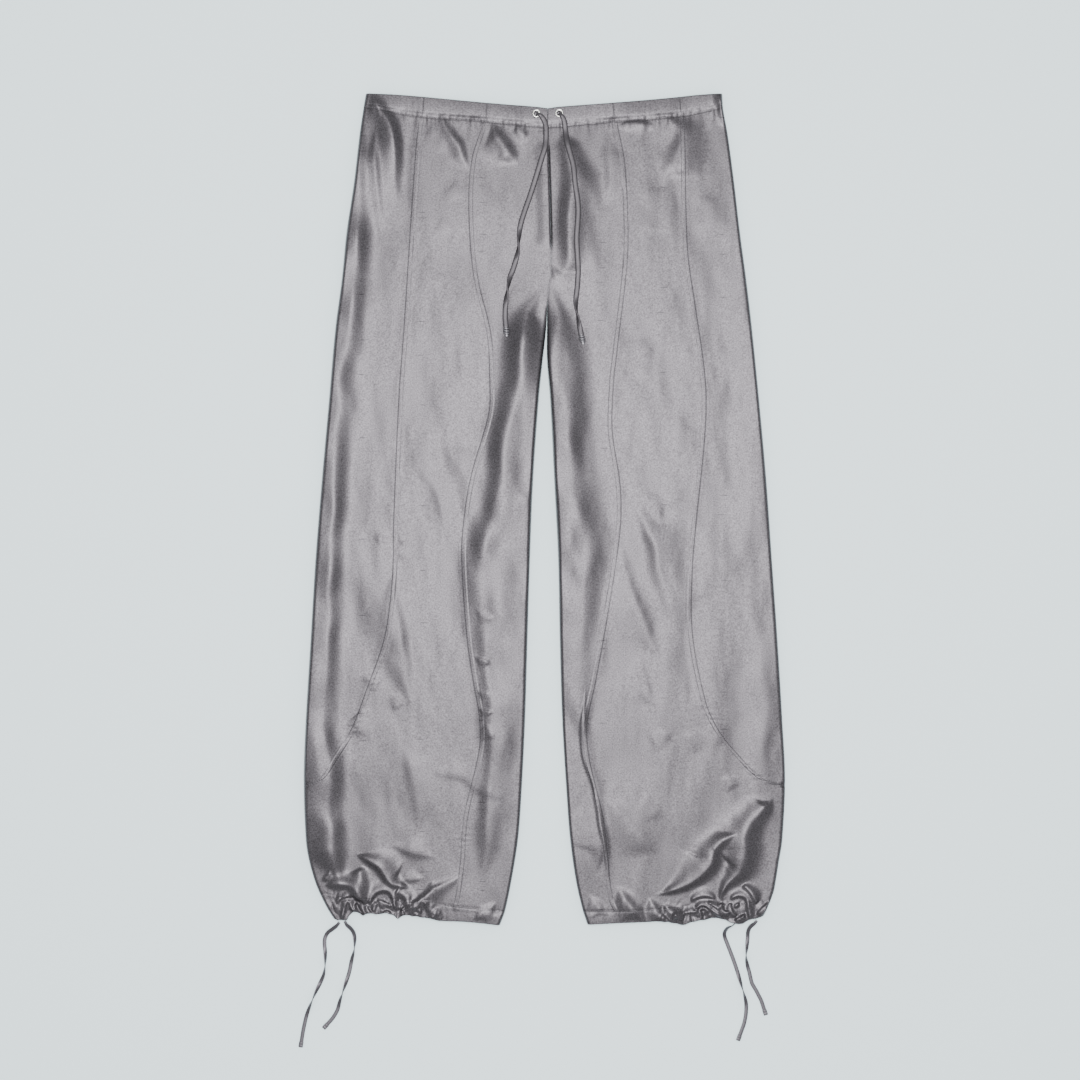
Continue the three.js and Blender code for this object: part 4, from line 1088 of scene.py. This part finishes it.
def runLength(path):
    return np.concatenate([[0], np.cumsum(np.linalg.norm(np.diff(path, axis=0), axis=1))])


def evened(values, reach):
    # the values with their sudden steps smoothed out
    weights = np.hanning(2 * reach + 3)[1:-1]
    padded = np.concatenate([np.full(reach, values[0]), values, np.full(reach, values[-1])])
    return np.convolve(padded, weights / weights.sum(), mode="valid")


def makeWaistCord(side):
    flat = curveThrough(waistRoutes[side], waistCord["steps"])
    run = runLength(flat)
    along = run / run[-1]
    roll = twistAlong(along, waistCord["twists"][side], waistCord["twistHalf"])
    pinch = 1 - 0.12 * np.abs(np.sin(roll))
    start = smooth(run, 2, 11)
    halfWidth = waistCord["width"] / 2 * pinch * mix(0.72, 1, start)
    halfThick = waistCord["thickness"] / 2 * mix(1.3, 1, start)
    stand = np.hypot(halfWidth * np.sin(roll), halfThick * np.cos(roll))
    under = clothTop(flat[:, 0], flat[:, 1], waistCord["width"] / 2)
    over = mouths[side] - 0.45 * np.maximum(run - 3, 0)
    z = evened(np.maximum(under, over) + 0.2, 3) + evened(stand, 2)
    z -= 3.2 * (1 - smooth(run, 0, 3.2))
    path = np.column_stack([flat, z])
    cord = makeMesh(f"waist_cord_{side}_satin", *sweep(path, halfWidth, halfThick, roll))
    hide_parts(f"waist_cord_{side}")
    knot = makeKnot(side, path)
    return cord, knot


def makeKnot(side, path):
    # the cord's end wound twice round itself and drawn tight, with a short tail
    end, way = path[-1], path[-1] - path[-6]
    way = np.array([way[0], way[1], 0]) / np.hypot(way[0], way[1])
    across = np.array([way[1], -way[0], 0])
    turns = np.linspace(0, 1, 70)
    angle = 2 * math.pi * 2.6 * turns
    radius = 2.3 + 0.5 * np.sin(math.pi * turns)
    along = mix(0.5, 8.2, turns) + 0.7 * np.sin(angle)
    line = (
        end + way * along[:, None] + across * (radius * np.cos(angle))[:, None]
        + np.array([0, 0, 1]) * (radius * 0.75 * np.sin(angle) + 0.8)[:, None]
    )
    wraps = sweep(line, 1.35, 1.2, sides=10, squareness=2.2)
    tail = np.array([end - way * 0.6, end + way * 4, end + way * 9, end + way * 11.4])
    tail[:, 2] = end[2] + np.array([0, 0.4, 0, -0.3])
    core = sweep(curveThrough(tail, 24), np.linspace(2, 2.3, 24), 1.5, sides=12)
    knot = makeMesh(f"waist_knot_{side}_wound", *together(wraps, core))
    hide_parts(f"waist_knot_{side}")
    return knot


def makeHemCord(name):
    leg = rightLeg if name.startswith("right") else leftLeg
    flat = curveThrough(hemRoutes[name], hemCord["steps"])
    run = runLength(flat)
    along = run / run[-1]
    roll = twistAlong(along, hemTwists[name], hemCord["twistHalf"])
    halfWidth = hemCord["width"] / 2 * mix(0.7, 1, smooth(run, 0, 10))
    halfThick = hemCord["thickness"] / 2
    stand = np.hypot(halfWidth * np.sin(roll), halfThick * np.cos(roll))
    x, y = flat[0]
    out = leg["sign"] * x
    mouth = legPoint(leg, out, y, hemLift(leg, np.array(out), np.array(y)))[2] - cloth["hemWall"] / 2
    z = mix(mouth, 0.25 + stand, smooth(run, 0, 26))
    path = np.column_stack([flat, z])
    cord = makeMesh(f"hem_cord_{name}_satin", *sweep(path, halfWidth, halfThick, roll, 12, 3))
    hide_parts(f"hem_cord_{name}")
    tip = makeTip(name, path)
    return cord, tip


def makeTip(name, path):
    # the end folded back on itself and stitched down
    end, way = path[-1], path[-1] - path[-5]
    way = np.array([way[0], way[1], 0]) / np.hypot(way[0], way[1])
    base = np.array([end[0], end[1], 0]) - way * 1.2
    steps = np.linspace(0, hemCord["tip"], 14)
    line = base + way * steps[:, None]
    thick = np.full(14, 0.95)
    thick[[0, -1]] = 0.5
    thick[7] = 0.75
    wide = np.full(14, hemCord["width"] / 2 + 0.35)
    wide[0] -= 0.6
    wide[-1] -= 0.4
    line[:, 2] = 1.25
    tip = makeMesh(f"hem_knot_{name}_folded", *sweep(line, wide, thick, sides=14, squareness=4))
    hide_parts(f"hem_knot_{name}")
    return tip


waistPairs = [makeWaistCord(side) for side in ("right", "left")]
hemPairs = [makeHemCord(name) for name in hemRoutes]
print("cords laid")

# Lockstitch in spun thread
stitch = {"pitch": 3.1, "long": 2.5, "thick": 0.36, "proud": 0.1}


def surfaceNormals(point, out, y, sign):
    step = 0.8
    across = point(out + step, y) - point(out - step, y)
    down = point(out, y - step) - point(out, y + step)
    normal = -sign * np.cross(across, down)
    return normal / np.linalg.norm(normal, axis=-1, keepdims=True)


def valuesAt(where, run, values):
    return np.stack([np.interp(where, run, values[:, k]) for k in range(3)], axis=1)


def stitchesAlong(points, normals):
    # rounded stitches end to end on a line, each a little arched
    run = runLength(points)
    count = int(run[-1] / stitch["pitch"])
    if count < 1:
        return np.zeros((0, 3)), np.zeros((0, 4), int)
    at = (np.arange(count) + 0.5) * run[-1] / count
    middle, up = valuesAt(at, run, points), valuesAt(at, run, normals)
    before, after = valuesAt(at - 1, run, points), valuesAt(at + 1, run, points)
    way = (after - before) / np.linalg.norm(after - before, axis=1, keepdims=True)
    up -= way * np.sum(up * way, axis=1, keepdims=True)
    up /= np.linalg.norm(up, axis=1, keepdims=True)
    across = np.cross(way, up)
    half, thick = stitch["long"] / 2, stitch["thick"] / 2
    # along a stitch, its thickness and its rise there: thin ends that dip into the cloth
    rings = [(-1, 0.3, -0.7), (-0.4, 1, 0.15), (0.4, 1, 0.15), (1, 0.3, -0.7)]
    corners = []
    for s, r, rise in rings:
        for k in range(4):
            turn = math.pi / 4 + k * math.pi / 2
            corners.append((s * half, r * thick * math.cos(turn), thick * (r * math.sin(turn) + rise)))
    corners = np.array(corners)
    points = (
        middle[:, None] + way[:, None] * corners[None, :, 0:1] + across[:, None] * corners[None, :, 1:2]
        + up[:, None] * (corners[None, :, 2:3] + stitch["proud"])
    )
    faces = []
    for r in range(len(rings) - 1):
        for k in range(4):
            n = (k + 1) % 4
            faces.append((r * 4 + k, r * 4 + n, r * 4 + 4 + n, r * 4 + 4 + k))
    last = 4 * (len(rings) - 1)
    faces = np.array(faces + [(3, 2, 1, 0), tuple(range(last, last + 4))])
    total = (np.arange(count) * len(corners))[:, None, None] + faces[None]
    return points.reshape(-1, 3), total.reshape(-1, 4)


def surfaceWith(leg, lift):
    # the leg's outer face as a function of a place on its cloth
    def point(out, y):
        return legPoint(leg, out, y, lift(leg, out, y))

    return point


tack = {"y": 362, "passes": 3, "apart": 0.5, "thirdRow": 230}  # bar tack, and a third row's foot


def seamRuns(leg):
    # every stitch row of a leg as places on its cloth: (surface, outward, y)
    away, reach = relief["stitchAway"], 505
    front, band, hem = (surfaceWith(leg, lift) for lift in (frontLift, bandLift, hemLift))
    seams = ((outerSeamOut, size["pointLow"] + 3), (innerSeamOut, -reach), (backSeamOut, size["pointTop"]))
    for seam, foot in seams:
        y = np.linspace(reach, foot, 600)
        x = leg["sign"] * flatOut(leg, seam(leg, y), y)
        y = y[(y < waistSeamY(x) - 1) & (y > leg["hemSeamY"](x) + 1)]
        for offset in (-away, away):
            yield front, seam(leg, y) + offset, y
        if leg is leftLeg and seam is outerSeamOut:
            y = y[y > tack["thirdRow"]]
            yield front, seam(leg, y) + 0.4 * away, y
    if leg is rightLeg:
        for k in range(tack["passes"]):
            y = np.full(8, float(tack["y"] + k * tack["apart"]))
            yield front, outerSeamOut(leg, y) + np.linspace(-away, away, 8), y
    columns = np.linspace(0, 1, 400)
    for up in (casing["firstRow"], casing["firstRow"] + casing["rowsApart"]):
        out = mix(middleOut(leg, 490) + 1, backSeamOut(leg, 495) - 1, columns)
        y = 490 + 0 * out
        for _ in range(garment["settle"]):
            y = waistSeamY(leg["sign"] * flatOut(leg, out, y)) + up
        ringX, ringY = eyelet["places"][leg["name"]]
        clear = np.hypot(leg["sign"] * out - ringX, y - ringY) > eyelet["flange"] + 1
        yield band, out[clear], y[clear]
    out = mix(innerTurn(leg, -500) + 1, sideTurn(leg, -480) - 1, columns)
    y = garment["foot"] + 0 * out
    for _ in range(garment["settle"]):
        x = leg["sign"] * flatOut(leg, out, y)
        y = leg["hemSeamY"](x) - 2
    plain = gatherShare(leg, x) < 0.5  # the gathers hide the rest
    yield hem, out[plain], y[plain]


threads = {}
for leg in (rightLeg, leftLeg):
    runs = [
        stitchesAlong(point(out, y), surfaceNormals(point, out, y, leg["sign"]))
        for point, out, y in seamRuns(leg)
    ]
    points, faces = together(*runs)
    threads[leg["name"]] = makeMesh(f"topstitch_{leg['name']}", points, faces, 80)
    print("sewn:", leg["name"], len(points) // 16, "stitches")


def linear(hexColour):
    values = [int(hexColour[i : i + 2], 16) / 255 for i in (1, 3, 5)]
    return tuple(v / 12.92 if v <= 0.04045 else ((v + 0.055) / 1.055) ** 2.4 for v in values) + (1,)


def addNode(tree, kind, values=None, links=None, **settings):
    node = tree.nodes.new(kind)
    for name, value in settings.items():
        setattr(node, name, value)
    for socket, value in (values or {}).items():
        node.inputs[socket].default_value = value
    for socket, source in (links or {}).items():
        tree.links.new(source, node.inputs[socket])
    return node


def newMaterial(name, values):
    material = bpy.data.materials.new(name)
    material.use_nodes = True
    tree = material.node_tree
    surface = tree.nodes["Principled BSDF"]
    for socket, value in values.items():
        surface.inputs[socket].default_value = value
    return material, tree, surface


# Sockets of a colour Mix: its factor, its two colours and what comes out
mixer = {"factor": 0, "first": 6, "second": 7, "result": 2}

# Filament satin, woven. Its long floats give a soft metal-like lustre that follows the folds, and
# slubs leave a rare fine mark. The yarns are 0.2 mm apart, too fine to show, so they are drawn
# coarser.
satin = {
    "colour": "#5c595d",
    "dark": "#333033",
    "slub": "#262427",
    "metallic": 0.8,
    "roughness": 0.41,
    "thread": 1.5,  # mm from one drawn yarn to the next
    "tones": (0.24, 0.76),  # the grain's values that get the dark and the full colour
    "slubCell": (75, 7.5),  # mm of cloth, across and along, that may hold one slub
    "slubRare": 0.93,  # share of such places without one
    "slubEdge": (0.09, 0.02),  # from the outside of a slub to its full colour
    "bump": 0.2,  # mm
}


def makeSatin(name, look):
    material, tree, surface = newMaterial(
        name, {"Metallic": look["metallic"], "Roughness": look["roughness"]}
    )
    place = addNode(tree, "ShaderNodeTexCoord").outputs["Object"]
    grain = addNode(
        tree, "ShaderNodeTexNoise", {"Scale": 1 / (look["thread"] * metre), "Detail": 2}, {"Vector": place}
    ).outputs["Fac"]
    low, high = look["tones"]
    tones = addNode(tree, "ShaderNodeMapRange", {"From Min": low, "From Max": high}, {"Value": grain})
    tint = addNode(
        tree, "ShaderNodeMix",
        {mixer["first"]: linear(look["dark"]), mixer["second"]: linear(look["colour"])},
        {mixer["factor"]: tones.outputs["Result"]}, data_type="RGBA",
    )
    wide, tall = look["slubCell"]
    stretch = addNode(
        tree, "ShaderNodeMapping", {"Scale": (1 / (wide * metre), 1 / (tall * metre), 1)}, {"Vector": place}
    )
    dots = addNode(
        tree, "ShaderNodeTexVoronoi", {"Scale": 1}, {"Vector": stretch.outputs["Vector"]},
        voronoi_dimensions="2D",
    )
    chosen = addNode(tree, "ShaderNodeSeparateColor", None, {"Color": dots.outputs["Color"]})
    rare = addNode(
        tree, "ShaderNodeMath", {1: look["slubRare"]}, {0: chosen.outputs["Red"]}, operation="GREATER_THAN"
    )
    outside, full = look["slubEdge"]
    close = addNode(
        tree, "ShaderNodeMapRange", {"From Min": outside, "From Max": full},
        {"Value": dots.outputs["Distance"]},
    )
    mark = addNode(
        tree, "ShaderNodeMath", None, {0: rare.outputs[0], 1: close.outputs["Result"]},
        operation="MULTIPLY",
    )
    colour = addNode(
        tree, "ShaderNodeMix", {mixer["second"]: linear(look["slub"])},
        {mixer["factor"]: mark.outputs[0], mixer["first"]: tint.outputs[mixer["result"]]},
        data_type="RGBA",
    )
    tree.links.new(colour.outputs[mixer["result"]], surface.inputs["Base Color"])
    bump = addNode(
        tree, "ShaderNodeBump", {"Strength": 0.35, "Distance": look["bump"] * metre}, {"Height": grain}
    )
    tree.links.new(bump.outputs["Normal"], surface.inputs["Normal"])
    return material


# Spun polyester thread, dyed to match. It is matt beside the satin, so a row reads as a dark line.
thread = {"dark": "#5f5c61", "light": "#77747a", "roughness": 0.6, "ply": 0.4}


def makeThread():
    material, tree, surface = newMaterial("spun polyester thread", {"Roughness": thread["roughness"]})
    place = addNode(tree, "ShaderNodeTexCoord").outputs["Object"]
    fuzz = addNode(tree, "ShaderNodeTexNoise", {"Scale": 1 / (thread["ply"] * metre)}, {"Vector": place})
    colour = addNode(
        tree, "ShaderNodeMix",
        {mixer["first"]: linear(thread["dark"]), mixer["second"]: linear(thread["light"])},
        {mixer["factor"]: fuzz.outputs["Fac"]}, data_type="RGBA",
    )
    tree.links.new(colour.outputs[mixer["result"]], surface.inputs["Base Color"])
    return material


# Nickel, plated over a pressed ring. It is bright and clear, with faint patches where it is rubbed.
nickel = {"colour": "#c9c8c4", "patch": 1.11, "roughness": (0.15, 0.35)}


def makeNickel():
    material, tree, surface = newMaterial(
        "plated nickel", {"Metallic": 1, "Base Color": linear(nickel["colour"])}
    )
    place = addNode(tree, "ShaderNodeTexCoord").outputs["Object"]
    wear = addNode(tree, "ShaderNodeTexNoise", {"Scale": 1 / (nickel["patch"] * metre)}, {"Vector": place})
    smoothest, roughest = nickel["roughness"]
    rubbed = addNode(
        tree, "ShaderNodeMapRange", {"To Min": smoothest, "To Max": roughest}, {"Value": wear.outputs["Fac"]}
    )
    tree.links.new(rubbed.outputs["Result"], surface.inputs["Roughness"])
    return material


def dress(pieces, material):
    for piece in pieces:
        piece.data.materials.clear()
        piece.data.materials.append(material)


# The cords are the same satin, with its yarns drawn finer on so narrow a strip. The hem cords are a little
# paler. The wound knots are the palest, and that paleness is a painted highlight for the light their curls
# catch.
waistLook = {**satin, "thread": 0.6, "roughness": 0.48}
# painted highlight: the knots' colour and dark tone are the same satin painted lighter
knotHighlightLook = {**satin, "colour": "#8d8b90", "dark": "#5c5a5f", "thread": 0.6}
hemLook = {**satin, "colour": "#5d5a5f", "dark": "#454247", "thread": 0.6}
dress([*panels.values(), *casings.values(), *backs.values()], makeSatin("woven satin", satin))
dress([cord for cord, knot in waistPairs], makeSatin("satin waist cord", waistLook))
# the knots get the satin painted lighter, as a painted highlight
dress([knot for cord, knot in waistPairs], makeSatin("satin knot with painted highlight", knotHighlightLook))
dress([piece for pair in hemPairs for piece in pair], makeSatin("satin hem cord", hemLook))
dress(threads.values(), makeThread())
dress(rings.values(), makeNickel())
print("finishes made")

# The surface it lies on, matt paper, and a soft light from above, in metres
room = {
    "floorHalf": 4, "floorDrop": 0.0002, "paper": "#ebfbff", "paperRoughness": 0.9,
    "lampPlace": (0, 0.1, 3.6), "lampSize": (0.7, 1.5), "lampPower": 172,
    "air": (0.86, 0.88, 0.89, 1), "airStrength": 0.97,
}


def makeFloor():
    half, z = room["floorHalf"], -room["floorDrop"]
    mesh = bpy.data.meshes.new("floor")
    corners = [(-half, -half, z), (half, -half, z), (half, half, z), (-half, half, z)]
    mesh.from_pydata(corners, [], [(0, 1, 2, 3)])
    floor = bpy.data.objects.new("floor", mesh)
    bpy.context.collection.objects.link(floor)
    paper = {"Base Color": linear(room["paper"]), "Roughness": room["paperRoughness"]}
    mesh.materials.append(newMaterial("matt paper", paper)[0])


def makeLight():
    light = bpy.data.lights.new("soft box", "AREA")
    light.shape = "RECTANGLE"
    light.size, light.size_y = room["lampSize"]
    light.energy = room["lampPower"]
    lamp = bpy.data.objects.new("soft box", light)
    lamp.location = room["lampPlace"]
    bpy.context.collection.objects.link(lamp)
    world = bpy.context.scene.world or bpy.data.worlds.new("room")
    bpy.context.scene.world = world
    world.use_nodes = True
    air = world.node_tree.nodes["Background"].inputs
    air["Color"].default_value = room["air"]
    air["Strength"].default_value = room["airStrength"]


makeFloor()
makeLight()
print("surface and light made")
